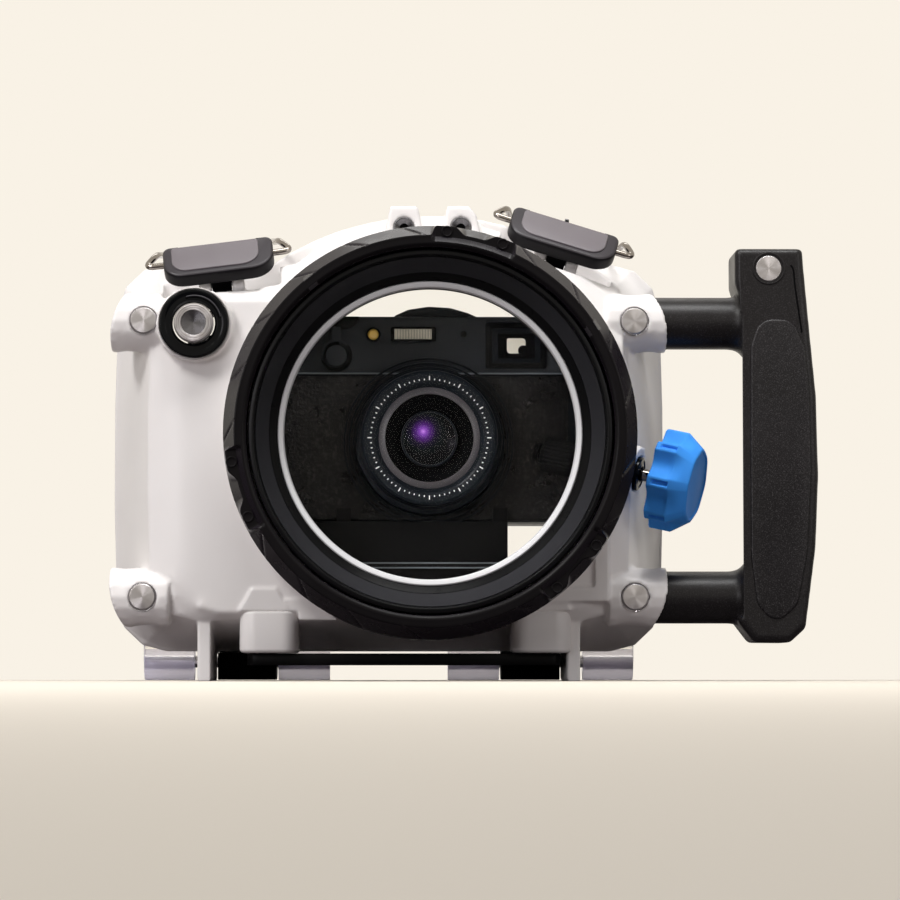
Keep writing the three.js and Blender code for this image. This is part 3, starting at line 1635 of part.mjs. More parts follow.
// Scene graph
const root = new THREE.Group();
const housing = new THREE.Group();
const rightEnd = gripOuterAt((gripLow + gripHigh) / 2);
const leftEnd = flangeHalfWidth + sideBulge;
housing.position.set((leftEnd - rightEnd) / 2, -(ringFrontY + dialBackY) / 2, 0);
root.add(housing);

function piece(name, shape, material, parent = housing) {
  const mesh = new THREE.Mesh(shape.isBufferGeometry ? welded(shape) : geometryOf(shape), material);
  mesh.name = name;
  parent.add(mesh);
  return mesh;
}

function frameAt(x, y, z, parent = housing) {
  const group = new THREE.Group();
  group.position.set(x, y, z);
  parent.add(group);
  return group;
}

piece("housing_shell", housingShell(), white);
for (const side of sides) {
  for (const z of bossHeights) {
    const name = `corner_pin_${z === bossUpperZ ? "upper" : "lower"}_${side < 0 ? "left" : "right"}`;
    piece(name, bar(pinRadius, -pinProud, pinDepth), steel).position.set(side * pinX, 0, z);
  }
}
lugCentres.forEach((x, i) => {
  const insert = bar(insertRadius, lugFrontY - pinProud, lugFrontY + insertDepth, smallSides);
  piece(`lug_insert_${i === 0 ? "left" : "right"}`, insert, steel).position.set(x, 0, insertZ);
});

for (const z of bossHeights) {
  const name = `handle_tube_${z === bossUpperZ ? "upper" : "lower"}`;
  const tube = solid(barAlongX(handleTubeRadius, tubeSeatX, tubeEndX).translate(0, handleY, z));
  piece(name, cut(tube, pinHole(pinX, z)), nylon);
}
piece("handle_grip", handleGrip(), nylon);
piece("handle_panel", handlePanel(), black);
const gripFrontY = handleY - gripHalfDepth;
piece("handle_pin", bar(pinRadius, gripFrontY - pinProud, gripFrontY + pinDepth), steel).position.set(gripPinX, 0, gripPinZ);

for (const side of sides) piece(`shell_foot_${side < 0 ? "left" : "right"}`, shellFoot(side), white);
piece("base_plate", basePlate(), black);
footCentres.forEach((x, i) => {
  piece(`base_screw_${i === 0 ? "left" : "right"}`, baseScrew(), steel).position.set(x, screwY, 0);
});

const port = frameAt(portX, 0, portZ);
piece("port_barrel", portBarrel(), black, port);
piece("port_glass", bar(glassRadius, glassFrontY, glassFrontY + glassThick, portSides), glass, port);
piece("port_rim", ringBody(rimInner, rimOuter, rimFrontY, glassFrontY - 2 * seatGap, portSides), pale, port);
piece("port_seal", portSeal(), darkRubber, port);
piece("lock_ring", lockRing(), black, port);

const shutter = frameAt(shutterX, 0, shutterZ);
piece("shutter_collar", shutterCollar(), black, shutter);
piece("shutter_button", shutterButton(), steel, shutter);
piece("shutter_spring", shutterSpring(), steel, shutter);
piece("shutter_arm", shutterArm(), steel).position.set(shutterX, armY, armPivotZ);

const knob = frameAt(glandX, glandY, glandZ);
knob.quaternion.copy(knobTurn);
piece("knob_gland", knobGland(), black, knob);
piece("knob_shaft", knobShaft(), steel, knob);
piece("blue_knob", blueKnob(), blue, knob);
piece("knob_roller", knobRoller(), darkRubber, knob);

for (const latch of latches) {
  const frame = frameAt(latch.x, latchY, latch.z);
  frame.rotation.y = THREE.MathUtils.degToRad(-latch.tilt);
  piece(`latch_pin_${latch.side}`, latchPin(), steel, frame);
  piece(`latch_lever_${latch.side}`, latchLever(), black, frame);
  piece(`latch_clip_${latch.side}`, latchClip(), steel, frame);
  piece(`latch_bail_${latch.side}`, latchBail(latch), steel, frame).position.copy(bailPivot);
}

piece("rear_door", rearDoor(), clear);
piece("door_seal", doorSeal(), sealRubber);
for (const side of sides) {
  const name = side < 0 ? "left" : "right";
  piece(`hinge_block_${name}`, hingeBlock(side), black);
  piece(`hinge_pin_${name}`, hingePin(side), steel);
}
rearButtons.forEach(([x, z], i) => {
  piece(`rear_button_${i + 1}`, rearButton(), black).position.set(x, 0, z);
});
piece("rear_dial", rearDial(), black).position.set(dialX, 0, dialZ);

piece("camera_tray", cameraTray(), black);
piece("tray_screw", trayScrew(), steel);
piece("camera_body", cameraBody(), satin);
piece("camera_cover", cameraCover(), leather);
piece("camera_top_plate", cameraTopPlate(), satin);
const lens = frameAt(portX, 0, portZ);
piece("camera_lens", cameraLens(), black, lens);
piece("lens_front_glass", lensFrontGlass(), glass, lens);
piece("finder_window", windowPane(finderLeftX, finderRightX, finderLow, finderHigh), glass);
piece("flash_window", windowPane(flashLeftX, flashRightX, flashLow, flashHigh), glass);
piece("focus_lamp", bar(lampRadius, cameraFrontY - windowProud, cameraFrontY + windowDepth), glass).position.set(lampX, 0, lampZ);

export default root;
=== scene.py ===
"""Looks for the underwater camera housing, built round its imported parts.

Sizes are in millimetres until a piece is placed.
"""

import math

import bmesh
import bpy
import numpy as np
from mathutils import Matrix, Vector

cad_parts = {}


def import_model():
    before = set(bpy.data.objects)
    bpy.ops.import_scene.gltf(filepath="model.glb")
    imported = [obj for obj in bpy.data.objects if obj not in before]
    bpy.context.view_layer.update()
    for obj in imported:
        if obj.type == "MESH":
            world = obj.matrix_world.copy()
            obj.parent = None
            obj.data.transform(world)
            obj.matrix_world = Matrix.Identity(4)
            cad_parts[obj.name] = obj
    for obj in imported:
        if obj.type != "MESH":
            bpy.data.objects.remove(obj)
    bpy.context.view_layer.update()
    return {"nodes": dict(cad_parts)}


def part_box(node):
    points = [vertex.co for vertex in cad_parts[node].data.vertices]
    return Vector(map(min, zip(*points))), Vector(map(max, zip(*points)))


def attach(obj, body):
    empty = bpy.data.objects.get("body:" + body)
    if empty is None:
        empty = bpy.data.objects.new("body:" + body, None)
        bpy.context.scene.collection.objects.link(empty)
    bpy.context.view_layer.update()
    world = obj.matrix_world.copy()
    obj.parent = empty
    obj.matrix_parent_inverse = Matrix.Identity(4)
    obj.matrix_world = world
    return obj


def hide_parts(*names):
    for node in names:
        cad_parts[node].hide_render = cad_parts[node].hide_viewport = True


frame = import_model()

MM = 0.001
OFFSET = Vector((-23.85, -14.2, 0.0))
PORT = (13.0, 78.3)
SHUTTER = (-63.0, 115.1)
PIN_X = 79.5
PIN_HEIGHTS = {"lower": 27.1, "upper": 116.5}
GRIP_PIN = (122.8, 133.3)
LUG_XS = (4.8, 23.3)
LUG_Z = 147.2
TUBE_Y = 9.5
FRONT = Matrix.Identity(4)
UPRIGHT = Matrix.Rotation(math.pi / 2, 4, "X")
LATCHES = {"left": (-54.8, 130.0, 7.0, 15.0), "right": (54.7, 138.0, -17.0, 11.2)}
LATCH_Y = 11.9
CATCH_Y = 55.4
LEVER_RISES = {"left": 1.2, "right": 0.5}
GLAND = Vector((81.0, 7.5, 67.3))
KNOB_AXIS = Vector((0.93, -0.29, -0.215)).normalized()
NOTCHES = (77.1, 197.1, 317.1)
RING_RADIUS = 65.3
RING_BORE = 57.9
RING_FRONT = -38.1
LIP_EDGE = 61.3
STUD_CIRCLE = 63.1
STUD_TURN = 8.2
PIN_RADIUS = 4.3


# Colours are given as seen on a screen
def colour(red, green, blue):
    def linear(value):
        share = value / 255
        return share / 12.92 if share <= 0.04045 else ((share + 0.055) / 1.055) ** 2.4

    return (linear(red), linear(green), linear(blue), 1.0)


# Materials
def new_material(name):
    made = bpy.data.materials.new(name)
    made.use_nodes = True
    nodes = made.node_tree.nodes
    return made, nodes, made.node_tree.links, nodes["Principled BSDF"]


def noise(nodes, links, size, detail=3.0):
    """A noise texture whose spots are about size millimetres wide."""
    place = nodes.new("ShaderNodeTexCoord")
    texture = nodes.new("ShaderNodeTexNoise")
    texture.inputs["Scale"].default_value = 1 / (size * MM)
    texture.inputs["Detail"].default_value = detail
    links.new(place.outputs["Object"], texture.inputs["Vector"])
    return texture


def ranged(nodes, links, texture, ends, low=0.0, high=1.0):
    """The texture's strength between two ends, spread out from low to high."""
    spread = nodes.new("ShaderNodeMapRange")
    for socket, value in zip(("From Min", "From Max", "To Min", "To Max"), (*ends, low, high)):
        spread.inputs[socket].default_value = value
    links.new(texture.outputs["Fac"], spread.inputs["Value"])
    return spread.outputs["Result"]


def mixed(nodes, links, share, first, second, output):
    """Shows the second shader where share is one, and the first elsewhere."""
    mix = nodes.new("ShaderNodeMixShader")
    links.new(share, mix.inputs["Fac"])
    links.new(first, mix.inputs[1])
    links.new(second, mix.inputs[2])
    links.new(mix.outputs["Shader"], nodes[output].inputs["Surface"])


def vary_colour(nodes, links, shader, base, size, spread):
    texture = noise(nodes, links, size)
    blend = nodes.new("ShaderNodeValToRGB")
    darker, paler = blend.color_ramp.elements
    darker.position = 0.3
    paler.position = 0.7
    darker.color = [channel * (1 - spread) for channel in base[:3]] + [1]
    paler.color = [min(channel * (1 + spread), 1) for channel in base[:3]] + [1]
    links.new(texture.outputs["Fac"], blend.inputs["Fac"])
    links.new(blend.outputs["Color"], shader.inputs["Base Color"])


def add_painted_glints(nodes, links, shader, lift, size):
    """Painted glints: fine paler specks over the base colour that stand in for the lamps' sparkle on the
    grain; lift is how far they rise on a screen's scale.
    """
    glints = ranged(nodes, links, noise(nodes, links, size, 2.0), (0.52, 0.72))
    mix = nodes.new("ShaderNodeMix")
    mix.data_type = "RGBA"
    mix.inputs["B"].default_value = colour(22 + lift, 20 + lift, 21 + lift)
    links.new(glints, mix.inputs["Factor"])
    links.new(shader.inputs["Base Color"].links[0].from_socket, mix.inputs["A"])
    links.new(mix.outputs["Result"], shader.inputs["Base Color"])


def vary_roughness(nodes, links, shader, low, high, size):
    rough = ranged(nodes, links, noise(nodes, links, size), (0.3, 0.7), low, high)
    links.new(rough, shader.inputs["Roughness"])


def add_bump(nodes, links, shader, size, depth):
    texture = noise(nodes, links, size)
    bump = nodes.new("ShaderNodeBump")
    bump.inputs["Strength"].default_value = 1.0
    bump.inputs["Distance"].default_value = depth * MM
    links.new(texture.outputs["Fac"], bump.inputs["Height"])
    links.new(bump.outputs["Normal"], shader.inputs["Normal"])


def plastic(
    name, base, rough, grain=0.3, depth=0.004, spread=0.04, gloss=0.5,
    coat=0.0, sub=0.0, glint_lift=0, fleck=0.34,
):
    """Moulded plastic: a fine grain, a slow change of tone and a slightly uneven gloss."""
    made, nodes, links, shader = new_material(name)
    vary_colour(nodes, links, shader, colour(*base), size=22, spread=spread)
    vary_roughness(nodes, links, shader, max(rough - 0.05, 0), rough + 0.05, size=9)
    add_bump(nodes, links, shader, grain, depth)
    shader.inputs["Specular IOR Level"].default_value = gloss
    # Painted glints: paler specks stand in for the lamps' sparkle on the grain
    if glint_lift:
        add_painted_glints(nodes, links, shader, glint_lift, fleck)
    shader.inputs["Coat Weight"].default_value = coat
    shader.inputs["Coat Roughness"].default_value = 0.12
    if sub:
        shader.inputs["Subsurface Weight"].default_value = sub
        shader.inputs["Subsurface Radius"].default_value = (0.002, 0.0018, 0.0016)
    return made


def metal(name, base, rough, turned=False, depth=0.003):
    """Machined metal; a turned face spreads its highlights across rings about its own axis."""
    made, nodes, links, shader = new_material(name)
    shader.inputs["Metallic"].default_value = 1.0
    vary_colour(nodes, links, shader, colour(*base), size=6, spread=0.05)
    vary_roughness(nodes, links, shader, rough - 0.04, rough + 0.05, size=2.5)
    add_bump(nodes, links, shader, size=0.4, depth=depth)
    if turned:
        shader.inputs["Anisotropic"].default_value = 0.85
        tangent = nodes.new("ShaderNodeTangent")
        tangent.direction_type = "RADIAL"
        tangent.axis = "Y"
        links.new(tangent.outputs["Tangent"], shader.inputs["Tangent"])
    return made


def clear(name, base, rough, ior, milky=0.0):
    """Clear plastic or glass that lets the lamps shine through it."""
    made, nodes, links, shader = new_material(name)
    shader.inputs["Transmission Weight"].default_value = 1.0 - milky
    shader.inputs["IOR"].default_value = ior
    vary_colour(nodes, links, shader, base, size=30, spread=0.01)
    vary_roughness(nodes, links, shader, rough, rough + 0.015, size=14)
    through = nodes.new("ShaderNodeBsdfTransparent")
    through.inputs["Color"].default_value = [channel * (1 - 0.5 * milky) for channel in base[:3]] + [1]
    shadow = nodes.new("ShaderNodeLightPath").outputs["Is Shadow Ray"]
    mixed(nodes, links, shadow, shader.outputs["BSDF"], through.outputs["BSDF"], "Material Output")
    return made


def painted_lens_glow(name):
    """The lens's deep element with a painted reflection of its coatings: violet in the middle, running out
    through blue to black, greenish low.
    """
    made, nodes, links, shader = new_material(name)
    place = nodes.new("ShaderNodeTexCoord")
    mapping = nodes.new("ShaderNodeMapping")
    mapping.inputs["Location"].default_value = (0.24, 0.0, -0.3)
    mapping.inputs["Scale"].default_value = (125, 1, 125)
    ball = nodes.new("ShaderNodeTexGradient")
    ball.gradient_type = "SPHERICAL"
    blend = nodes.new("ShaderNodeValToRGB")
    stops = blend.color_ramp
    stops.elements[0].position = 0.0
    stops.elements[0].color = colour(6, 7, 8)
    stops.elements[1].position = 1.0
    stops.elements[1].color = colour(196, 140, 226)
    between = ((0.25, (10, 17, 16)), (0.5, (24, 18, 36)), (0.72, (70, 34, 104)), (0.88, (128, 72, 172)))
    for position, shown in between:
        stop = stops.elements.new(position)
        stop.color = colour(*shown)
    links.new(place.outputs["Object"], mapping.inputs["Vector"])
    links.new(mapping.outputs["Vector"], ball.inputs["Vector"])
    links.new(ball.outputs["Fac"], blend.inputs["Fac"])
    links.new(blend.outputs["Color"], shader.inputs["Base Color"])
    vary_roughness(nodes, links, shader, 0.08, 0.14, size=5)
    shader.inputs["Specular IOR Level"].default_value = 0.06
    return made


WHITE = plastic(
    "shell_white_satin", (233, 229, 227), 0.36, grain=0.35, depth=0.0025, spread=0.01, gloss=0.35, sub=0.06
)
RING_BLACK = plastic("ring_black_satin", (12, 10, 12), 0.34, depth=0.003, gloss=0.08)
# Painted sheen: the ring's band is a paler, purple copy of its black, partly a glossier finish and partly
# painted reflection
RING_BAND_SHEEN = plastic("ring_band_painted_sheen", (20, 16, 22), 0.28, depth=0.003, gloss=0.2)
# Painted highlight: the lip's slopes take a paler glossy copy of the ring's black, partly a glossier finish
RING_LIP_SHEEN = plastic("ring_lip_painted_highlight", (26, 24, 28), 0.2, depth=0.001)
BARREL_BLACK = plastic("barrel_black", (13, 13, 14), 0.3, grain=0.4, depth=0.002, gloss=0.08)
# Painted light: a paler copy of the barrel's black for its sloping cone, partly a satin finish
CONE_LIT_BLACK = plastic("cone_satin_painted_light", (40, 40, 43), 0.42, gloss=0.14)
LEVER_BLACK = plastic("lever_dark_satin", (17, 15, 18), 0.42, grain=0.25, gloss=0.14)
# Painted light: paler copies of the lever's black for its outward face and its raised panel, where the top
# lamp falls
LEVER_LIT_FACE = plastic("lever_face_painted_light", (100, 94, 98), 0.4, grain=0.22, depth=0.006, gloss=0.45)
LEVER_LIT_BORDER = plastic("lever_border_painted_light", (40, 36, 41), 0.4, grain=0.22, depth=0.006, gloss=0.3)
GRIP_BLACK = plastic(
    "grip_textured_black", (20, 18, 19), 0.36, grain=0.4, depth=0.045, spread=0.2, gloss=0.2, glint_lift=26
)
PANEL_BLACK = plastic(
    "grip_panel_painted_glints", (17, 15, 17), 0.38, grain=0.45, depth=0.06, spread=0.3, gloss=0.22, glint_lift=38
)
PLATE_BLACK = plastic("plate_black", (10, 10, 11), 0.38, depth=0.01, gloss=0.06)
DEEP_BLACK = plastic("inner_black", (6, 6, 7), 0.55, grain=0.4, depth=0.005, gloss=0.03)
BLUE = plastic("knob_blue", (70, 158, 255), 0.5, spread=0.03, gloss=0.04, sub=0.05)
CAMERA_BLACK = plastic("camera_black_satin", (16, 20, 25), 0.4, grain=0.2, depth=0.002, gloss=0.08)
TOP_BLACK = plastic("camera_top_satin", (46, 49, 53), 0.4, grain=0.2, depth=0.002, gloss=0.08)
GLOSS_BLACK = plastic("camera_gloss_black", (5, 6, 8), 0.16, grain=0.2, depth=0.001, gloss=0.1)
RUBBER = plastic("black_rubber", (10, 10, 11), 0.6, depth=0.01, gloss=0.06)
# The seal's pale colour, also used as painted daylight seen through the camera's finder
PALE_SEAL_AND_FINDER_LIGHT = plastic("pale_seal", (250, 246, 232), 0.5, grain=0.4, depth=0.01)
LEATHER = plastic(
    "camera_leather", (6, 6, 8), 0.3, grain=0.9, depth=0.3, spread=0.2, gloss=0.16, glint_lift=16, fleck=1.2
)
AMBER = plastic("lamp_amber", (238, 198, 96), 0.26, coat=0.6)
PALE_LINE = plastic("pale_line", (112, 118, 124), 0.4, gloss=0.2)
GREY_BAND = plastic("lens_band_grey", (58, 56, 60), 0.36, grain=0.2, gloss=0.3)
MARK_WHITE = plastic("mark_white", (226, 226, 226), 0.5, depth=0.002)
STEEL = metal("steel", (168, 166, 168), 0.26)
TURNED_STEEL = metal("turned_steel", (178, 175, 176), 0.32, turned=True, depth=0.001)
DARK_STEEL = metal("turned_dark_steel", (98, 97, 100), 0.24, turned=True, depth=0.001)
CHROME = metal("bail_wire", (140, 134, 128), 0.1, depth=0.001)
PALE_RIM = plastic("port_rim_satin", (214, 214, 215), 0.42, depth=0.002, gloss=0.6)
WINDOW_SILVER = plastic("flash_pale", (236, 233, 220), 0.3)
PORT_GLASS = clear("port_clear", (0.99, 0.995, 0.995, 1), 0.0, 1.08)
DOOR_CLEAR = clear("door_clear", (0.985, 0.985, 0.98, 1), 0.0, 1.12)
KNUCKLE_CLEAR = clear("knuckle_clear", (0.86, 0.84, 0.95, 1), 0.3, 1.2, milky=0.45)
LENS_GLASS = clear("lens_clear", (0.95, 0.93, 0.98, 1), 0.0, 1.08)
WINDOW_GLASS = clear("window_clear", (0.8, 0.82, 0.86, 1), 0.02, 1.15)
# Painted reflection: the lens element's violet glow is painted into its colour
LENS_PAINTED_GLOW = painted_lens_glow("lens_element_painted_glow")


# Making meshes
def rotated(matrix, degrees, axis):
    return matrix @ Matrix.Rotation(math.radians(degrees), 4, axis)


def round_point(centre, radius, angle):
    return (centre[0] + radius * math.cos(angle), centre[1] + radius * math.sin(angle))


def added(name, data):
    """A new object of the scene, made from a mesh, curve, light or camera."""
    made = bpy.data.objects.new(name, data)
    bpy.context.scene.collection.objects.link(made)
    return made


def link(name, mesh, material, body="housing", replaced=(), matrix=None):
    made = added(name, mesh)
    if matrix is not None:
        placed = matrix.copy()
        placed.translation = (matrix.translation + OFFSET) * MM
        made.matrix_world = placed
    mesh.materials.clear()
    mesh.materials.append(material)
    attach(made, body)
    if replaced:
        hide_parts(*replaced)
    return made


def build(name, points, faces, material, body, replaced=(), matrix=FRONT, sharp=38):
    """One mesh from points in millimetres about its own frame, with smooth shading up to the sharp angle."""
    mesh = bpy.data.meshes.new(name)
    mesh.from_pydata([Vector(point) * MM for point in points], [], faces)
    work = bmesh.new()
    work.from_mesh(mesh)
    bmesh.ops.remove_doubles(work, verts=work.verts, dist=1e-6)
    bmesh.ops.dissolve_degenerate(work, edges=work.edges, dist=1e-7)
    bmesh.ops.recalc_face_normals(work, faces=work.faces)
    work.to_mesh(mesh)
    work.free()
    shade(mesh, sharp)
    return link(name, mesh, material, body, replaced, matrix)


def shade(mesh, sharp):
    mesh.shade_smooth()
    mesh.set_sharp_from_angle(angle=math.radians(sharp))


def soften(points, closed=True, steps=5):
    """A path of (u, v, radius) corners with each corner rounded by its radius."""
    path = []
    count = len(points)
    for i, point in enumerate(points):
        corner = Vector(point[:2])
        radius = point[2] if len(point) > 2 else 0
        if not radius or (not closed and i in (0, count - 1)):
            path.append(tuple(corner))
            continue
        before = Vector(points[i - 1][:2]) - corner
        after = Vector(points[(i + 1) % count][:2]) - corner
        reach_limit = 0.48 * min(before.length, after.length)
        before.normalize()
        after.normalize()
        half = before.angle(after) / 2
        reach = min(radius / math.tan(half), reach_limit)
        centre = corner + (before + after).normalized() * (reach / math.cos(half))
        start = corner + before * reach - centre
        end = corner + after * reach - centre
        from_angle = math.atan2(start.y, start.x)
        turn = (math.atan2(end.y, end.x) - from_angle + math.pi) % (2 * math.pi) - math.pi
        for step in range(steps + 1):
            angle = from_angle + turn * step / steps
            path.append(round_point(centre, start.length, angle))
    return path


def lathe(
    name, centre, profile, material, body="housing", replaced=(), sides=144, matrix=FRONT,
    section=None, **more,
):
    """A turned piece about an axis along Y; section(angle) may change the profile on the way round."""
    points = []
    faces = []
    rows = 0
    for side in range(sides):
        angle = 2 * math.pi * side / sides
        ring = section(angle) if section else profile
        rows = len(ring)
        for radius, along in ring:
            points.append((radius * math.cos(angle), along, radius * math.sin(angle)))
    for side in range(sides):
        after = (side + 1) % sides
        for row in range(rows):
            below = (row + 1) % rows
            faces.append((side * rows + row, side * rows + below, after * rows + below, after * rows + row))
    placed = matrix @ Matrix.Translation((centre[0], 0, centre[1]))
    return build(name, points, faces, material, body, replaced, placed, **more)


def plate_rings(outline, low, high, bevel, back_bevel, steps):
    """The rings of a plate with rounded edges, from its back at high to its front at low."""
    turns = [math.pi / 2 * step / steps for step in range(steps + 1)]
    shares = [(1 - math.sin(turn), 1 - math.cos(turn)) for turn in turns]
    rows = [(0.0, high)]
    if back_bevel:
        rows = [(back_bevel * falling, high - back_bevel * rising) for falling, rising in shares]
    rows += [(bevel * rising, low + bevel * falling) for falling, rising in shares]
    return [[(x, along, z) for x, z in inset(outline, depth)] for depth, along in rows]


def plate(
    name, outline, low, high, bevel, material, body="housing", replaced=(), matrix=FRONT,
    back_bevel=0.0, **more,
):
    """A flat piece in the XZ plane between two places along Y, its front edge rounded by bevel."""
    rings = plate_rings(outline, low, high, bevel, back_bevel, 4)
    count = len(outline)
    points = [point for ring in rings for point in ring]
    faces = []
    for row in range(len(rings) - 1):
        for i in range(count):
            j = (i + 1) % count
            faces.append((row * count + i, row * count + j, (row + 1) * count + j, (row + 1) * count + i))
    faces.append(tuple(range(count)))
    faces.append(tuple(range((len(rings) - 1) * count, len(rings) * count)))
    return build(name, points, faces, material, body, replaced, matrix, **more)


def inset(outline, depth):
    """The outline moved inwards by depth."""
    if not depth:
        return outline
    count = len(outline)
    area = 0
    for (x, z), (next_x, next_z) in zip(outline, outline[1:] + outline[:1]):
        area += x * next_z - next_x * z
    turn = 1 if area > 0 else -1
    moved = []
    for i in range(count):
        here = Vector(outline[i])
        back = (here - Vector(outline[i - 1])).normalized()
        ahead = (Vector(outline[(i + 1) % count]) - here).normalized()
        normal_a = Vector((-back.y, back.x)) * turn
        normal_b = Vector((-ahead.y, ahead.x)) * turn
        both = normal_a + normal_b
        moved.append(tuple(here + both * (depth / max(both.dot(normal_a), 0.3))))
    return moved


def rounded_box(left, right, low, high, radii, steps=6):
    """Outline with one radius, or its own at each corner: low left, low right, high right, high left."""
    if not isinstance(radii, tuple):
        radii = (radii,) * 4
    corners = [(left, low, radii[0]), (right, low, radii[1]), (right, high, radii[2]), (left, high, radii[3])]
    return soften(corners, steps=steps)


def bent(points, radius, steps=6):
    """Straight runs through 3-D points with each corner turned into an even bend."""
    path = [Vector(points[0])]
    for i in range(1, len(points) - 1):
        corner = Vector(points[i])
        back = Vector(points[i - 1]) - corner
        ahead = Vector(points[i + 1]) - corner
        start = corner + back.normalized() * min(radius, back.length / 2)
        end = corner + ahead.normalized() * min(radius, ahead.length / 2)
        for step in range(steps + 1):
            share = step / steps
            path.append(start * (1 - share) ** 2 + corner * 2 * share * (1 - share) + end * share ** 2)
    path.append(Vector(points[-1]))
    return path


def settled(holder):
    """The holder's final mesh, once the holder is cleared away."""
    mesh = bpy.data.meshes.new_from_object(holder.evaluated_get(bpy.context.evaluated_depsgraph_get()))
    bpy.data.objects.remove(holder)
    return mesh


def wire(name, points, radius, material, body="housing", replaced=(), matrix=FRONT, bevel=4):
    """A round wire through the points as a mesh tube."""
    curve = bpy.data.curves.new(name, "CURVE")
    curve.dimensions = "3D"
    curve.bevel_depth = radius * MM
    curve.bevel_resolution = bevel
    curve.use_fill_caps = True
    line = curve.splines.new("POLY")
    line.points.add(len(points) - 1)
    for spot, point in zip(line.points, points):
        spot.co = (*((matrix @ Vector(point) + OFFSET) * MM), 1)
    mesh = settled(added(name, curve))
    shade(mesh, 50)
    return link(name, mesh, material, body, replaced)


def evened(mesh, voxel, passes):
    """The mesh remeshed evenly, with its edges rounded off by so many passes of smoothing."""
    holder = added("holder", mesh)
    remesh = holder.modifiers.new("even", "REMESH")
    remesh.mode = "VOXEL"
    remesh.voxel_size = voxel * MM
    smooth = holder.modifiers.new("soft", "SMOOTH")
    smooth.factor = 0.5
    smooth.iterations = passes
    return settled(holder)


def blend_facets(mesh, limit, passes):
    """Evens out the shallow corners between facets, and leaves every real edge where it is."""
    count = len(mesh.vertices)
    edges = np.empty(len(mesh.edges) * 2, dtype=np.int64)
    mesh.edges.foreach_get("vertices", edges)
    first, second = edges.reshape(-1, 2).T
    normals = np.empty(count * 3, dtype=np.float64)
    mesh.vertices.foreach_get("normal", normals)
    normals = normals.reshape(-1, 3)
    likeness = np.einsum("ij,ij->i", normals[first], normals[second])
    least = np.ones(count)
    np.minimum.at(least, first, likeness)
    np.minimum.at(least, second, likeness)
    for _ in range(2):
        wider = least.copy()
        np.minimum.at(wider, first, least[second])
        np.minimum.at(wider, second, least[first])
        least = wider
    free = least > math.cos(math.radians(limit))
    places = np.empty(count * 3, dtype=np.float64)
    mesh.vertices.foreach_get("co", places)
    places = places.reshape(-1, 3)
    ways = np.bincount(first, minlength=count) + np.bincount(second, minlength=count)
    for _ in range(passes):
        for axis in range(3):
            values = places[:, axis]
            total = np.bincount(first, values[second], count) + np.bincount(second, values[first], count)
            even = total / ways
            places[:, axis] = np.where(free, 0.5 * values + 0.5 * even, values)
    mesh.vertices.foreach_set("co", places.reshape(-1))
    mesh.update()


def bevelled(node, name, material, width, body="housing", top=None, shortest=0.0):
    """A copy of a node with its sharp edges broken, and cut off above top where that is given."""
    mesh = frame["nodes"][node].data.copy()
    mesh.name = name
    work = bmesh.new()
    work.from_mesh(mesh)
    bmesh.ops.remove_doubles(work, verts=work.verts, dist=2e-6)
    if top:
        parts = work.verts[:] + work.edges[:] + work.faces[:]
        bmesh.ops.bisect_plane(
            work, geom=parts, plane_co=(0, 0, top * MM), plane_no=(0, 0, 1), clear_outer=True
        )
        bmesh.ops.holes_fill(work, edges=[edge for edge in work.edges if edge.is_boundary])
    bmesh.ops.dissolve_limit(work, angle_limit=math.radians(1), verts=work.verts, edges=work.edges)
    least_angle = math.radians(28)
    edges = []
    for edge in work.edges:
        long_enough = edge.calc_length() > shortest * MM
        if long_enough and len(edge.link_faces) == 2 and edge.calc_face_angle(0) > least_angle:
            edges.append(edge)
    bmesh.ops.bevel(
        work,
        geom=edges,
        offset=width * MM,
        offset_type="OFFSET",
        segments=2,
        profile=0.5,
        affect="EDGES",
        clamp_overlap=True,
    )
    work.to_mesh(mesh)
    work.free()
    shade(mesh, 48)
    return link(name, mesh, material, body, (node,))


def finish_node(material, *nodes):
    """Gives carried-over solids their finished material."""
    for node in nodes:
        data = frame["nodes"][node].data
        data.materials.clear()
        data.materials.append(material)


def front_of(node):
    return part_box(node)[0].y / MM - OFFSET.y


# Housing shell
def shell():
    made = evened(frame["nodes"]["housing_shell"].data.copy(), voxel=0.6, passes=3)
    blend_facets(made, limit=10, passes=160)
    made.name = "shell_moulded"
    shade(made, 180)
    link("shell_moulded", made, WHITE, "housing", ("housing_shell",))
    for side in ("left", "right"):
        low, high = [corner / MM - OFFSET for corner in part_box(f"shell_foot_{side}")]
        block = rounded_box(low.x, high.x, -high.y, -low.y, 5.5, steps=8)
        replaced = (f"shell_foot_{side}",)
        plate(f"foot_{side}", block, low.z, high.z, 1.3, WHITE, "housing", replaced, UPRIGHT, back_bevel=0.9)


# Lock ring
def ramp(value, low, high):
    share = min(max((value - low) / (high - low), 0.0), 1.0)
    return share * share * (3 - 2 * share)


def notch_away(angle):
    return min(abs((math.degrees(angle) - first + 540) % 360 - 180) for first in NOTCHES)


def groove_depth(angle, up_share):
    """Slanted grooves across the ring's sloping band."""
    half_gap = 8.5
    half_width = 0.55
    slanted = math.degrees(angle) + 6 * up_share + 4
    away = abs((slanted + half_gap) % (2 * half_gap) - half_gap)
    return max(0.0, 1 - away / half_width)


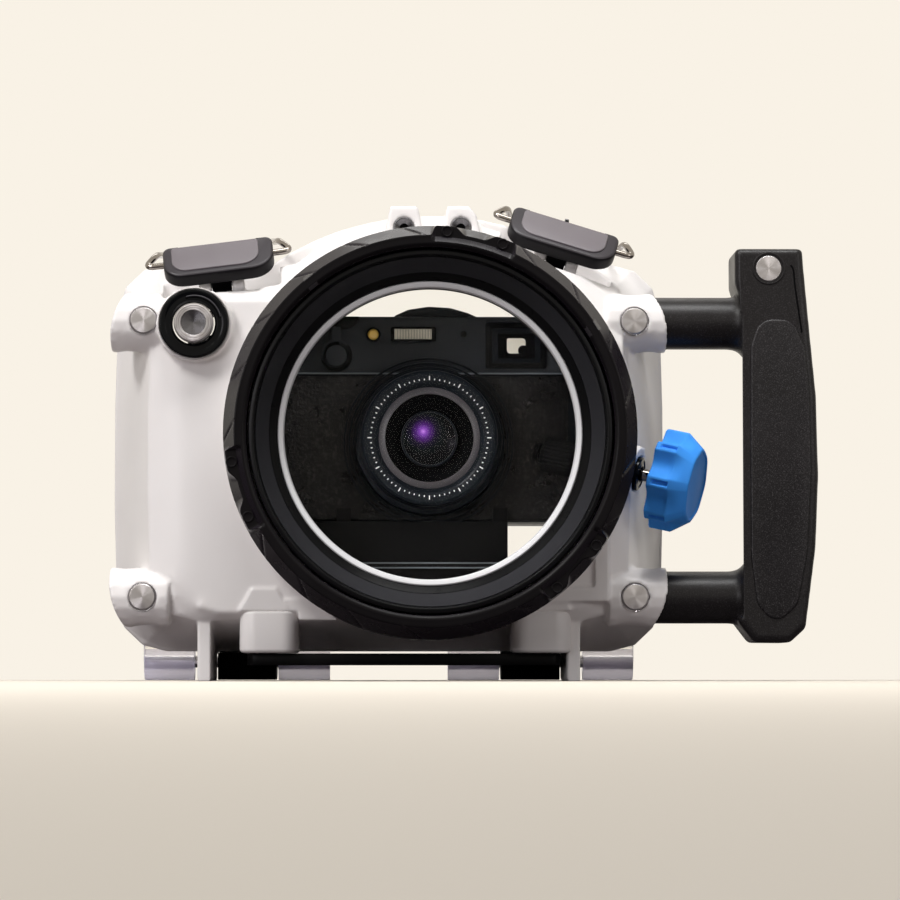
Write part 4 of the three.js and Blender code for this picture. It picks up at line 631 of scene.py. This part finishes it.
def ring_section(angle):
    """Outer wall, sloping band, front face with a sunk part in each notch, and the lip inside."""
    away = notch_away(angle)
    sunk = 1 - ramp(away, 11.3, 12.9)
    facet = 1 - ramp(away, 2.5, 6.3)
    sink = 1.4 * sunk
    face = -38 + sink
    band = (3.6 * (1 - sunk)) + sunk * (0.5 + 2.3 * facet)
    slope = []
    for step in range(13):
        up = step / 12
        run_out = math.sin(math.pi * min(max(up, 0.06), 0.94)) ** 0.4
        dip = 0.4 * groove_depth(angle, up) * (1 - sunk) * run_out
        slope.append((RING_RADIUS - band * up - dip, -31 - (7 - sink) * up + 0.5 * dip))
    outside = [(64.9, -8)] + [(RING_RADIUS, along) for along in (-8.4, -12, -20, -30.5)]
    edge = RING_RADIUS - band
    flat = [
        (edge - 0.3, face - 0.12), (edge - 0.7, face - 0.1),
        (61.9, face - 0.1) if edge > 62.7 else (edge - 0.75, face - 0.1),
        (LIP_EDGE - 0.25 * (1 - sunk), face - 0.1), (61.1 - 0.25 * (1 - sunk), face - 0.22 * sunk - 0.1),
        (59.6, RING_FRONT), (59.4, RING_FRONT - 0.02), (59.0, RING_FRONT),
    ]
    inside = [(58.75, -38.0), (58.0, -37.5), (RING_BORE, -37.35), (RING_BORE, -26.2)]
    return outside + slope + flat + inside + [(60.6, -26.2), (60.6, -8)]


def lock_ring():
    made = lathe(
        "ring_turned", PORT, None, RING_BLACK, "ring", ("lock_ring",), 1080, section=ring_section, sharp=26
    )
    made.data.materials.append(RING_BAND_SHEEN)
    made.data.materials.append(RING_LIP_SHEEN)
    # Faces turned away from the front take the paler band copy: partly a glossier finish, partly painted
    # sheen
    for face in made.data.polygons:
        if face.normal.y > -0.8:
            face.material_index = 1
        radius = (face.center.xz / MM - Vector(PORT)).length
        in_front = RING_FRONT - 0.3 < face.center.y / MM < RING_FRONT + 1.6
        # The lip's slopes take the paler glossy copy: partly gloss, partly painted highlight
        if in_front and RING_BORE + 0.05 < radius < LIP_EDGE and face.normal.y > -0.97:
            face.material_index = 2
    corners = [(0, -36.9), (1.25, -36.9, 0.1), (1.35, -37.15, 0.1), (1.75, -37.15, 0.15)]
    stud = soften(corners + [(1.9, -36.0), (0, -36.0)], closed=False, steps=3)
    for first in NOTCHES:
        for label, turn in (("a", -STUD_TURN), ("b", STUD_TURN)):
            spot = round_point(PORT, STUD_CIRCLE, math.radians(first + turn))
            lathe(f"ring_stud_{int(first)}_{label}", spot, stud, RING_BLACK, "ring", sides=40)


# Port
def port():
    corners = [
        (57.2, -3), (57.2, -36.2, 0.4), (55.6, -36.6, 0.5), (55.2, -35.4, 0.2), (54.9, -34.9, 0.3),
        (50.9, -28.6, 0.3), (50.6, -28.2, 0.2), (48.5, -26.4, 0.3), (48.4, -19.2), (46.4, -19.2),
        (46.4, -16.8), (52, -16.8), (52, -3),
    ]
    profile = soften(corners, steps=4)
    lathe("barrel_turned", PORT, profile, BARREL_BLACK, "port", ("port_barrel",), 256, sharp=30)
    # Painted light: a thin paler sheet laid on the barrel's sloping cone, where light falls on it
    cone = [(54.95, -35.05), (54.9, -35.15), (50.95, -28.85), (50.9, -28.75), (51.0, -28.6), (55.05, -34.95)]
    lathe("barrel_cone", PORT, cone, CONE_LIT_BLACK, "port", (), 256, sharp=60)
    rim = soften(
        [(48.3, -23.8), (48.3, -25.7, 0.4), (47.9, -26.1, 0.3), (46.5, -25.6, 0.5), (46.2, -23.8)], steps=5
    )
    lathe("rim_turned", PORT, rim, PALE_RIM, "port", ("port_rim",), 256)
    pane = soften([(0, -23.5), (48.1, -23.5, 0.3), (48.1, -19.6, 0.3), (0, -19.6)], closed=False, steps=3)
    lathe("port_pane", PORT, pane, PORT_GLASS, "port", ("port_glass",), 192)
    finish_node(RUBBER, "port_seal")


# Pins and inserts, each a turned steel face in its bore
def steel_face(name, centre, node):
    front = front_of(node)
    edge = PIN_RADIUS
    corners = [(0, front), (edge - 0.35, front, 0.1), (edge, front + 0.3, 0.1)]
    profile = soften(corners + [(edge, front + 6), (0, front + 6)], closed=False, steps=3)
    lathe(name, centre, profile, TURNED_STEEL, "housing", (node,), 96)
    near, far = edge + 0.02, edge + 0.3
    well = [(near, front + 0.45), (far, front + 0.25), (far, front + 3), (near, front + 3)]
    lathe(f"{name}_gap", centre, well, STEEL, sides=96)


def pins():
    for level, z in PIN_HEIGHTS.items():
        for side, x in (("left", -PIN_X), ("right", PIN_X)):
            steel_face(f"pin_face_{level}_{side}", (x, z), f"corner_pin_{level}_{side}")
    steel_face("grip_pin_face", GRIP_PIN, "handle_pin")
    front = front_of("handle_pin")
    cup = soften(
        [(4.75, front + 0.9), (4.75, front - 0.1, 0.1), (5.3, front - 0.05, 0.2), (5.5, front + 0.9)], steps=4
    )
    lathe("grip_pin_cup", GRIP_PIN, cup, GRIP_BLACK, sides=96)
    for side, x in zip(("left", "right"), LUG_XS):
        node = f"lug_insert_{side}"
        front = front_of(node)
        corners = [
            (1.35, front + 6), (1.35, front + 1.2, 0.2), (2.3, front + 0.5, 0.3),
            (2.9, front + 0.05, 0.2), (3.3, front + 0.1, 0.2), (3.3, front + 6),
        ]
        bush = soften(corners, steps=4)
        lathe(f"insert_bush_{side}", (x, LUG_Z), bush, DARK_STEEL, "housing", (node,), 96)
        hole = [(0, front + 2.2), (1.4, front + 2.2), (1.4, front + 5), (0, front + 5)]
        lathe(f"insert_hole_{side}", (x, LUG_Z), hole, DEEP_BLACK, sides=48)


# Front shutter control
def shutter():
    corners = [
        (11.1, -2.9), (11.1, -5.3, 0.4), (10.75, -5.65, 0.3), (9.2, -5.6), (9.1, -5.55, 0.05),
        (7.6, -5.6, 0.3), (6.85, -5.1, 0.2), (6.8, -2.9),
    ]
    collar = soften(corners, steps=4)
    lathe("shutter_ring", SHUTTER, collar, GLOSS_BLACK, "housing", ("shutter_collar",), 128)
    rim = soften([(11.15, -3.1), (11.3, -4.35, 0.15), (11.75, -4.3, 0.15), (11.75, -3.1)], steps=4)
    lathe("shutter_trim", SHUTTER, rim, TURNED_STEEL, sides=128)
    spots = [round_point(SHUTTER, 8.5, math.radians(degrees)) for degrees in range(12, 112, 4)]
    wire("shutter_arc", [(x, -5.5, z) for x, z in spots], 0.42, DEEP_BLACK)
    edge = [(x, -5.53, z) for x, z in spots]
    wire("shutter_arc_edge", edge, 0.28, GREY_BAND, matrix=Matrix.Translation((0.25, 0, 0.35)))
    corners = [
        (3.95, -6.3), (3.98, -7.0, 0.08), (4.2, -7.2, 0.08), (4.75, -7.2), (4.85, -7.08), (4.95, -7.2),
        (5.45, -7.2), (5.55, -7.08), (5.65, -7.2), (5.9, -7.2, 0.1), (6.4, -6.7, 0.15), (6.4, -3.4),
        (3.95, -3.4),
    ]
    cap = soften(corners, steps=4)
    lathe("shutter_cap", SHUTTER, cap, TURNED_STEEL, "shutter", ("shutter_button",), 128, sharp=24)
    dish = [(0, -6.4), (0.4, -6.42), (3.97, -6.95), (3.97, -4), (0, -4)]
    lathe("shutter_dish", SHUTTER, dish, DARK_STEEL, "shutter", (), 128, sharp=24)
    finish_node(STEEL, "shutter_spring")
    bevelled("shutter_arm", "arm_plate", STEEL, 0.25, "arm")


# Latches: X runs along the lever, Z up its face, and -Y out of it
def latch_matrix(side):
    x, z, tilt, _ = LATCHES[side]
    return rotated(Matrix.Translation((x, LATCH_Y, z)), -tilt, "Y")


def lever(side):
    body = f"{side}_lever"
    lean = rotated(latch_matrix(side), 45, "X")
    face = rotated(latch_matrix(side), -45, "X")
    rise = LEVER_RISES[side]
    top, dip = 8.75 + rise, 7.85 + rise
    corners = [
        (-18, -5.75, 6.6), (18, -5.75, 7.5), (18, top, 4.2), (12.8, top, 0.5), (12.0, dip, 0.5),
        (-12.0, dip, 0.5), (-12.8, top, 0.5), (-18, top, 4.4),
    ]
    outline = soften(corners, steps=8)
    replaced = (f"latch_lever_{side}",)
    made = plate(f"lever_{side}", outline, -9.4, -4.5, 1.1, LEVER_BLACK, body, replaced, face, back_bevel=0.5)
    # Painted light: the outward face takes a paler copy of the lever's black, the sides and back keep the
    # dark one
    made.data.materials.append(LEVER_LIT_BORDER)
    for part in made.data.polygons:
        if part.normal.y < -0.8:
            part.material_index = 1
    left, right = (-15.2, 13.4) if side == "left" else (-14.4, 14.2)
    # Painted light: the raised panel is paler still, as if lit from above
    panel = rounded_box(left, right, -3.7, 7.4 + rise, (5.2, 6.0, 1.4, 1.4), steps=8)
    plate(f"lever_panel_{side}", panel, -9.95, -9.0, 0.45, LEVER_LIT_FACE, body, (), face)
    leg = [round_point((0, 0), 3.2, math.radians(degrees)) for degrees in range(180, 361, 15)]
    leg += [(3.2, 5.2), (-3.2, 5.2)]
    across = rotated(lean, 90, "Z")
    plate(f"lever_leg_{side}", leg, -3.15, 3.15, 0.3, DEEP_BLACK, body, (), across, back_bevel=0.3)


def clip(side):
    body = f"{side}_lever"
    face = rotated(latch_matrix(side), -45, "X")
    rise = LEVER_RISES[side]
    strip = rounded_box(-11.4, 11.4, 7.2, 8.75 + rise, 0.3, steps=3)
    plate(f"clip_strip_{side}", strip, -7.9, -5.7, 0.2, CHROME, body, (f"latch_clip_{side}",), face)
    lean, high, root = (-1.3, 0.8, 8.1) if side == "left" else (0.0, 2.1, 8.5)
    prong = soften(
        [(lean - 0.6, -0.9), (lean + 0.9, -0.9), (lean + 0.3, high, 0.3), (lean - 1.1, high, 0.3)], steps=3
    )
    stood = rotated(face @ Matrix.Translation((0, -7.4, root + rise)), 72, "X")
    plate(f"clip_prong_{side}", prong, -0.4, 0.5, 0.15, DARK_STEEL, body, (), stood)


def bail(side):
    bar_rise = LATCHES[side][3]
    slant = math.sqrt(0.5)
    pivot = Vector((0, -3.4 * slant, 10.6 * slant))
    run = CATCH_Y - LATCH_Y - pivot.y
    rise = bar_rise - pivot.z
    half = [
        (14.5, 0, 0), (24.1, 0, 0), (20.2, run * 0.12, 4.3), (18.4, run * 0.34, rise * 0.7),
        (17.9, run * 0.56, rise * 0.9), (16.4, run * 0.75, rise * 0.98), (16.4, run, rise),
    ]
    other = [(-spot[0], spot[1], spot[2]) for spot in reversed(half)]
    matrix = latch_matrix(side) @ Matrix.Translation(pivot)
    run_of_wire = bent(half + other, 3.2)
    wire(f"bail_{side}", run_of_wire, 1.1, CHROME, f"{side}_bail", (f"latch_bail_{side}",), matrix, 5)
    finish_node(STEEL, f"latch_pin_{side}")


# Side control, along its own Y axis
def knob_matrix():
    turn = Vector((0, 1, 0)).rotation_difference(KNOB_AXIS).to_matrix().to_4x4()
    return Matrix.Translation(GLAND) @ turn


def knob_section(angle):
    """Scallops that open towards the shell and close before the outer rim, and a slot in each ridge."""
    half_lobe = 22.5
    radius = 16.3
    scoop = 2.7
    valley = abs((math.degrees(angle) + half_lobe) % (2 * half_lobe) - half_lobe)
    ridge = half_lobe - valley
    hollow = max(0.0, 1 - (valley / 16.5) ** 2)
    slot = 1 - ramp(ridge, 2.0, 2.8)
    rows = []
    for step in range(24):
        along = 7.4 + 12.0 * step / 23
        shoulder = max(0.0, (along - 14.2) / 5.2)
        full = 1 - ramp(along, 12.5, 18.6)
        cut = 0.8 * slot * ramp(along, 8.5, 9.1) * (1 - ramp(along, 13.6, 14.2))
        crest = radius - 3.9 * shoulder
        rows.append((crest - (scoop * full + 0.35 * (1 - full)) * hollow - cut, along))
    waist = radius - scoop * hollow
    edge = rows[-1][0]
    start = [(0, 6.8), (6, 6.8), (waist - 1.5, 6.8), (waist - 0.6, 6.95), (waist - 0.15, 7.25)]
    end = [
        (edge - 0.25, 19.75), (edge - 0.8, 20.0), (edge - 1.3, 19.95), (edge - 1.55, 19.65),
        (edge - 1.9, 19.6), (5, 19.75), (0, 19.8),
    ]
    return start + rows + end


def side_control():
    matrix = knob_matrix()
    lathe("knob_scalloped", (0, 0), None, BLUE, "knob", ("blue_knob",), 360, matrix, knob_section, sharp=34)
    shaft = soften([(0, -34), (2, -34, 0.3), (2, 17), (0, 17)], closed=False, steps=3)
    lathe("shaft_turned", (0, 0), shaft, CHROME, "knob", ("knob_shaft",), 48, matrix)
    corners = [(2.25, -1.9), (2.25, 0.6, 0.2), (2.9, 1.0, 0.2), (4.2, 0.7, 0.2), (4.7, 1.0, 0.3)]
    gland = soften(corners + [(5.5, 0.8, 0.3), (5.5, -1.9)], steps=4)
    lathe("gland_turned", (0, 0), gland, GLOSS_BLACK, "housing", ("knob_gland",), 96, matrix)

    def roller(angle):
        rim = 5.55 + 0.16 * math.cos(angle * 28)
        return [(2.15, -33), (5.1, -33), (rim, -32.5), (rim, -22.5), (5.1, -22), (2.15, -22)]

    lathe("roller_knurled", (0, 0), None, RUBBER, "knob", ("knob_roller",), 336, matrix, roller, sharp=45)
    for label, low in (("inner", -36), ("outer", -21.4)):
        band = soften([(2.05, low), (3.2, low, 0.2), (3.2, low + 1.6, 0.2), (2.05, low + 1.6)], steps=3)
        material = RUBBER if label == "inner" else STEEL
        lathe(f"roller_band_{label}", (0, 0), band, material, "knob", (), 64, matrix)


# Handle
def panel_outline():
    corners = [
        (116.5, 40, 14), (118.4, 24.5, 7), (124.6, 18.0, 7), (131.8, 24.5, 7), (134.9, 41, 20),
        (136.3, 67, 30), (135.9, 93, 20), (134.6, 107, 9), (130.8, 116.6, 6), (119.8, 117.0, 6),
        (116.7, 108, 7), (116.5, 74, 20),
    ]
    return soften(corners, steps=8)


GRIP_CORNERS = [
    (111.8, 20.0, 1.2), (117.6, 12.4, 2.0), (129.2, 12.3, 2.6), (134.3, 17.0, 2.4), (135.5, 26, 6),
    (137.7, 43, 20), (138.7, 66, 30), (138.1, 92, 24), (136.2, 112, 14), (134.3, 133.0, 2),
    (133.8, 139.9, 1.4), (112.6, 139.9, 0.9), (111.9, 138.4, 0.8), (111.9, 128.5, 6.0), (116.3, 116.0, 8.0),
    (116.4, 23.5, 3.0),
]


def swept(rings, work):
    """Adds a closed solid through rings of points, ends capped."""
    made = [[work.verts.new(Vector(point) * MM) for point in ring] for ring in rings]
    for first, second in zip(made, made[1:]):
        for i, vertex in enumerate(first):
            j = (i + 1) % len(first)
            work.faces.new((vertex, first[j], second[j], second[i]))
    work.faces.new(made[0])
    work.faces.new(made[-1][::-1])


def handle():
    """Grip and tubes are one moulding: each tube flares where it runs into the grip."""
    work = bmesh.new()
    outline = soften(GRIP_CORNERS, steps=6)
    swept(plate_rings(outline, low=-3.5, high=22.5, bevel=2.0, back_bevel=2.2, steps=5), work)
    for z in PIN_HEIGHTS.values():
        stations = ((74.2, 8.5), (110.5, 8.5), (112.6, 8.8), (114.2, 9.6), (115.6, 11.2), (119, 11.2))
        circle = [math.radians(7.5 * step) for step in range(48)]
        rings = []
        for x, radius in stations:
            rings.append([(x, *round_point((TUBE_Y, z), radius, turn)) for turn in circle])
        swept(rings, work)
    bmesh.ops.recalc_face_normals(work, faces=work.faces)
    rough = bpy.data.meshes.new("grip_rough")
    work.to_mesh(rough)
    work.free()
    made = evened(rough, voxel=0.7, passes=4)
    made.name = "grip_moulded"
    shade(made, 180)
    replaced = ("handle_grip", "handle_tube_upper", "handle_tube_lower")
    link("grip_moulded", made, GRIP_BLACK, "housing", replaced, FRONT)
    # Painted shade: a thin dark wire along the grip's face stands in for the shade in a groove down its side
    spots = ((129.9, 134.4), (130.8, 133.2), (131.2, 128.0), (132.4, 119.5), (133.4, 112.5))
    wire("grip_groove_painted_shade", bent([(x, -3.35, z) for x, z in spots], 1.2), 0.32, DEEP_BLACK)
    front = front_of("handle_panel")
    plate("grip_panel", panel_outline(), front, front + 1.6, 0.8, PANEL_BLACK, "housing", ("handle_panel",))


# Under the housing
def underside():
    bevelled("base_plate", "plate_bar", PLATE_BLACK, 0.35)
    for side in ("left", "right"):
        bevelled(f"base_screw_{side}", f"screw_{side}", STEEL, 0.25)
        bevelled(f"hinge_block_{side}", f"block_{side}", DEEP_BLACK, 0.3)
    finish_node(STEEL, "hinge_pin_left", "hinge_pin_right")
    for label, x in (("left", -40.0), ("right", 48.0)):
        ring = soften([(2.6, 8.95), (5.2, 8.95, 0.2), (5.2, 10.25, 0.2), (2.6, 10.25)], steps=3)
        placed = Matrix.Translation((x, 5.5, 0)) @ UPRIGHT
        lathe(f"foot_spacer_{label}", (0, 0), ring, STEEL, sides=64, matrix=placed)


# Rear door and the controls on it
def door():
    made = bevelled("rear_door", "door_moulded", DOOR_CLEAR, 0.3, "door", shortest=1.6)
    made.data.materials.append(KNUCKLE_CLEAR)
    knuckle_top = 11 * MM
    for face in made.data.polygons:
        if face.center.z < knuckle_top:
            face.material_index = 1
    finish_node(PALE_SEAL_AND_FINDER_LIGHT, "door_seal")
    for number in range(1, 6):
        low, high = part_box(f"rear_button_{number}")
        centre = ((low.x + high.x) / 2 / MM - OFFSET.x, (low.z + high.z) / 2 / MM)
        corners = [
            (0, 51.9), (2.6, 51.9, 0.1), (2.6, 52.4), (1.6, 52.5), (1.6, 62), (4.2, 62.0, 0.2),
            (4.6, 62.4, 0.2), (4.6, 65.3, 0.4), (3.9, 66.0, 0.3), (0, 65.5),
        ]
        cap = soften(corners, closed=False, steps=3)
        replaced = (f"rear_button_{number}",)
        lathe(f"rear_cap_{number}", centre, cap, PLATE_BLACK, f"button_{number}", replaced, 64)

    def dial(angle):
        rim = 7.45 + 0.5 * max(0.0, math.cos(angle * 14)) ** 0.6
        stem = [(0, 51.9), (2.6, 51.9), (2.6, 52.4), (1.6, 52.5), (1.6, 60.7), (7.0, 60.7)]
        return stem + [(rim, 61.2), (rim, 65.8), (6.9, 66.4), (5.6, 66.4), (5.2, 66.1), (0, 66.1)]

    lathe("dial_knurled", (-30, 106), None, PLATE_BLACK, "dial", ("rear_dial",), 336, section=dial, sharp=40)


# Camera and its tray
def camera_body():
    bevelled("camera_tray", "tray_plate", PLATE_BLACK, 0.25)
    bevelled("tray_screw", "tray_bolt", STEEL, 0.25)
    bevelled("camera_body", "body_moulded", CAMERA_BLACK, 0.6)
    bevelled("camera_cover", "cover_pebbled", LEATHER, 0.25)
    bevelled("camera_top_plate", "top_moulded", TOP_BLACK, 0.5, top=119.25)
    left = [(1.2, 118.5), (2.2, 120.0, 1.0), (6.4, 121.9, 4), (13, 122.9, 8)]
    right = [(20, 122.5, 8), (25.6, 120.9, 4), (28.6, 119.6, 1.0), (29.0, 118.5)]
    plate("top_dome", soften(left + right, steps=6), 27.5, 44, 1.2, TOP_BLACK)
    seam = rounded_box(-52, 58, 100.6, 101.0, 0.1, steps=2)
    plate("top_seam", seam, 22.9, 24.2, 0.1, PALE_LINE)
    for label, z in (("upper", 38.9), ("lower", 37.4)):
        strip = rounded_box(-25.2, 38.2, z, z + 0.45, 0.1, steps=2)
        plate(f"tray_line_{label}", strip, 15.7, 16.3, 0.1, PALE_LINE)


def camera_details():
    front = 24.0
    lamp_spot = (-4.9, 113.4)
    corners = [
        (0, 20.6), (1.2, 20.5, 0.2), (1.6, 20.9, 0.1), (3.0, 20.9, 0.1), (3.3, 20.45, 0.15),
        (4.6, 20.45, 0.3), (5.1, 20.9, 0.3), (5.1, front), (0, front),
    ]
    selector = soften(corners, closed=False, steps=3)
    lathe("selector_ring", (-16.8, 106.4), selector, GLOSS_BLACK, sides=96)
    stem = rounded_box(-18.0, -15.5, 108, 116, 0.3, steps=3)
    plate("selector_stem", stem, 20.7, front, 0.3, GLOSS_BLACK)
    turns = [math.radians(degrees) for degrees in range(180, 361, 12)]
    cap = [(-14.95 + 5.5 * math.cos(turn), 119.2 + 4.2 * math.sin(turn)) for turn in turns]
    plate("dial_cap", cap, 22.2, front + 1, 0.5, GLOSS_BLACK)
    bezel = soften([(1.75, 22.9), (1.9, 22.6, 0.1), (2.3, 22.7, 0.1), (2.4, front)], steps=3)
    lathe("lamp_bezel", lamp_spot, bezel, GLOSS_BLACK, sides=64)
    bulge = [(0, 22.7), (1.2, 22.85, 0.6), (1.8, 23.4, 0.3), (1.8, front + 0.9), (0, front + 0.9)]
    dome = soften(bulge, closed=False, steps=4)
    lathe("lamp_lens", lamp_spot, dome, AMBER, "housing", ("focus_lamp",), 64)
    spot = [(0, 23.5), (0.9, 23.5), (1.0, 23.7), (1.0, front + 0.2), (0, front + 0.2)]
    lathe("sensor_spot", (24.3, 113.6), spot, GLOSS_BLACK, sides=40)
    for name, outline, low, high, material in (
        ("flash_frame", rounded_box(0.8, 15.4, 111.2, 115.9, 0.6), 23.3, front + 0.1, GLOSS_BLACK),
        ("finder_frame", rounded_box(31.4, 51.2, 102.4, 117.2, 0.9), 23.1, front + 0.1, GLOSS_BLACK),
        ("finder_step", rounded_box(33.6, 49.2, 104.2, 115.4, 0.7), 22.7, front, CAMERA_BLACK),
        ("finder_well", rounded_box(35.4, 47.4, 105.6, 113.8, 0.6), 22.4, front, DEEP_BLACK),
        # Painted daylight: a pale patch deep in the finder stands in for the light seen through it
        ("finder_painted_daylight", rounded_box(38.3, 44.4, 107.2, 112.2, (1.2, 0.6, 1.2, 0.6)), 22.25, front, PALE_SEAL_AND_FINDER_LIGHT),
    ):
        plate(name, outline, low, high, 0.25, material)
    bite = [(0, 22.1), (1.6, 22.1), (1.7, 22.3), (1.7, front), (0, front)]
    lathe("finder_bite", (43.6, 108.2), bite, DEEP_BLACK, sides=48)
    ribs = 24
    for number in range(ribs):
        left = 2.0 + 12.1 * number / ribs
        strip = [(left, 111.9), (left + 0.36, 111.9), (left + 0.36, 115.2), (left, 115.2)]
        plate(f"flash_rib_{number}", strip, 22.9, front, 0.12, WINDOW_SILVER)
    finish_node(WINDOW_GLASS, "finder_window", "flash_window")


def lens():
    corners = [
        (14.2, -0.6), (14.35, -1.3, 0.1), (16.2, -1.3, 0.2), (16.6, -1.7, 0.2), (17.4, -2.6, 0.3),
        (18.2, -3.0, 0.2), (20.6, -3.0, 0.4), (21.6, -2.4, 0.4), (21.9, -1.0, 0.3), (21.9, 3.4, 0.2),
        (21.3, 3.7, 0.1), (21.3, 4.3, 0.1), (22.0, 4.6, 0.2), (22.0, 13.9), (23.5, 14.2, 0.3),
        (23.5, 23.8), (14.2, 23.8),
    ]
    outer = soften(corners, steps=3)
    lathe("lens_barrel", PORT, outer, CAMERA_BLACK, "housing", ("camera_lens",), 192, sharp=30)
    band = soften([(14.15, 1), (14.15, -2.5, 0.1), (16.25, -1.4, 0.1), (16.25, 1)], steps=3)
    lathe("lens_band", PORT, band, GREY_BAND, sides=192)
    steps = [(14.2, -0.9), (12.9, 0.2), (12.9, 0.5), (11.4, 1.9), (11.4, 2.2)]
    steps += [(10.0, 3.4), (10.0, 3.7), (8.7, 4.6), (8.7, 8), (14.2, 8)]
    lathe("lens_cone", PORT, steps, DEEP_BLACK, sides=192, sharp=20)
    trim = soften([(8.4, 2.2), (8.45, 1.75, 0.1), (8.95, 1.75, 0.1), (9.1, 4.2), (8.4, 4.2)], steps=3)
    lathe("lens_trim", PORT, trim, CAMERA_BLACK, sides=128)
    deep = [(0, 3.4), (2.5, 3.3), (5.2, 2.95), (7.2, 2.5), (8.5, 2.2), (8.5, 6), (0, 6)]
    lathe("lens_element", PORT, deep, LENS_PAINTED_GLOW, sides=128, sharp=60)
    dome = [(0, 0.4), (2.2, 0.52), (4.4, 0.85), (6.4, 1.4), (8.3, 2.1), (8.3, 2.3), (0, 2.3)]
    lathe("lens_dome", PORT, dome, LENS_GLASS, "housing", ("lens_front_glass",), 128, sharp=60)
    for number in range(72):
        turn = math.radians(5 * number)
        half = math.radians(0.45)
        high = 19.8 if number % 6 == 0 else 19.0
        corners = ((18.5, -half), (18.5, half), (high, half), (high, -half))
        tick = [round_point(PORT, radius, turn + side) for radius, side in corners]
        plate(f"lens_tick_{number}", tick, -3.06, -2.9, 0.03, MARK_WHITE)
    for number, radius in enumerate((24.2, 25.6, 27.2)):
        inner = [(radius - 0.45, 23.4), (radius - 0.3, 22.8, 0.15)]
        outer = [(radius + 0.3, 22.8, 0.15), (radius + 0.45, 23.4)]
        lathe(f"mount_ring_{number}", PORT, soften(inner + outer, steps=3), CAMERA_BLACK, sides=160)


def camera_back():
    screen = rounded_box(-22, 46, 60, 97, 2)
    behind = rotated(FRONT, 180, "Z")
    outline = [(-x, z) for x, z in reversed(screen)]
    plate("rear_screen", outline, -50.95, -50.2, 0.3, GLOSS_BLACK, matrix=behind)


shell()
lock_ring()
port()
pins()
shutter()
for side in LATCHES:
    lever(side)
    clip(side)
    bail(side)
side_control()
handle()
underside()
door()
camera_body()
camera_details()
lens()
camera_back()


# Floor, lights and camera
def seen_share(nodes, links, *outputs):
    """One where the surface or sky is looked at through any of these kinds of ray."""
    path = nodes.new("ShaderNodeLightPath")
    share = path.outputs[outputs[0]]
    for name in outputs[1:]:
        either = nodes.new("ShaderNodeMath")
        either.operation = "MAXIMUM"
        links.new(share, either.inputs[0])
        links.new(path.outputs[name], either.inputs[1])
        share = either.outputs["Value"]
    return share


def stage():
    floor_material, nodes, links, shader = new_material("floor_pale")
    vary_colour(nodes, links, shader, colour(226, 218, 205), 400, 0.01)
    shader.inputs["Roughness"].default_value = 0.85
    shader.inputs["Specular IOR Level"].default_value = 0.1
    dim = nodes.new("ShaderNodeBsdfDiffuse")
    dim.inputs["Color"].default_value = (0.16, 0.14, 0.14, 1)
    share = seen_share(nodes, links, "Is Camera Ray", "Is Transmission Ray")
    mixed(nodes, links, share, dim.outputs["BSDF"], shader.outputs["BSDF"], "Material Output")
    mesh = bpy.data.meshes.new("floor")
    reach = 6.0
    behind = 0.16
    corners = [(-reach, -reach, 0), (reach, -reach, 0), (reach, behind, 0), (-reach, behind, 0)]
    mesh.from_pydata(corners, [], [(0, 1, 2, 3)])
    floor = added("floor", mesh)
    mesh.materials.append(floor_material)


def world():
    made = bpy.data.worlds.new("studio")
    bpy.context.scene.world = made
    made.use_nodes = True
    nodes = made.node_tree.nodes
    links = made.node_tree.links
    seen = nodes["Background"]
    seen.inputs["Color"].default_value = colour(249, 242, 230)
    seen.inputs["Strength"].default_value = 1.0
    soft = nodes.new("ShaderNodeBackground")
    soft.inputs["Color"].default_value = (1, 0.985, 0.96, 1)
    soft.inputs["Strength"].default_value = 0.2
    share = seen_share(nodes, links, "Is Camera Ray", "Is Transmission Ray", "Is Glossy Ray")
    mixed(nodes, links, share, soft.outputs["Background"], seen.outputs["Background"], "World Output")


def aimed_light(name, kind, place, aim, power):
    light = bpy.data.lights.new(name, kind)
    light.energy = power
    holder = added(name, light)
    holder.location = place
    holder.rotation_euler = (Vector(aim) - Vector(place)).to_track_quat("-Z", "Y").to_euler()
    return light


def lamp(name, place, aim, width, height, power, tint=(1, 1, 1)):
    light = aimed_light(name, "AREA", place, aim, power)
    light.shape = "RECTANGLE"
    light.size = width
    light.size_y = height
    light.color = tint


def lights():
    lamp("key", (-0.7, -0.66, 0.94), (0, 0, 0.08), 0.34, 0.3, 9.0, (1, 0.99, 0.975))
    lamp("low_fill", (-0.8, -1.1, 0.28), (0, 0, 0.05), 0.5, 0.4, 3.9, (0.99, 0.96, 1))
    lamp("right_fill", (0.8, -0.95, 0.42), (0.05, 0, 0.06), 0.4, 0.4, 2.2, (1, 0.97, 0.96))
    beam = aimed_light("handle_beam", "SPOT", (0.1, -0.31, 0.83), (0.082, 0, 0.078), 44)
    beam.spot_size = math.radians(5.2)
    beam.spot_blend = 0.6
    beam.shadow_soft_size = 0.09
    lamp("top_strip", (0.06, -0.3, 0.95), (0.02, 0, 0.08), 0.6, 0.24, 6.2)
    lamp("back_strip", (-0.05, 0.55, 0.88), (0, 0, 0.12), 0.5, 0.16, 1.0)


def camera():
    pixels = 900
    focal = 3720
    away = 1200.0
    rise = 3.0
    row_of_floor = 681
    column = 389
    horizon = row_of_floor - rise / away * focal
    pitch = math.atan((horizon - pixels / 2) / focal)
    yaw = math.atan((pixels / 2 - column) / focal)
    data = bpy.data.cameras.new("photo_view")
    data.sensor_width = 36
    data.lens = 36 * focal / pixels
    data.clip_start = 0.01
    data.clip_end = 20
    holder = added("photo_view", data)
    holder.location = (Vector((0, -away, rise)) + OFFSET) * MM
    holder.rotation_euler = (math.pi / 2 + pitch, 0, -yaw)
    bpy.context.scene.camera = holder


stage()
world()
lights()
camera()
bpy.context.scene.view_settings.view_transform = "Standard"
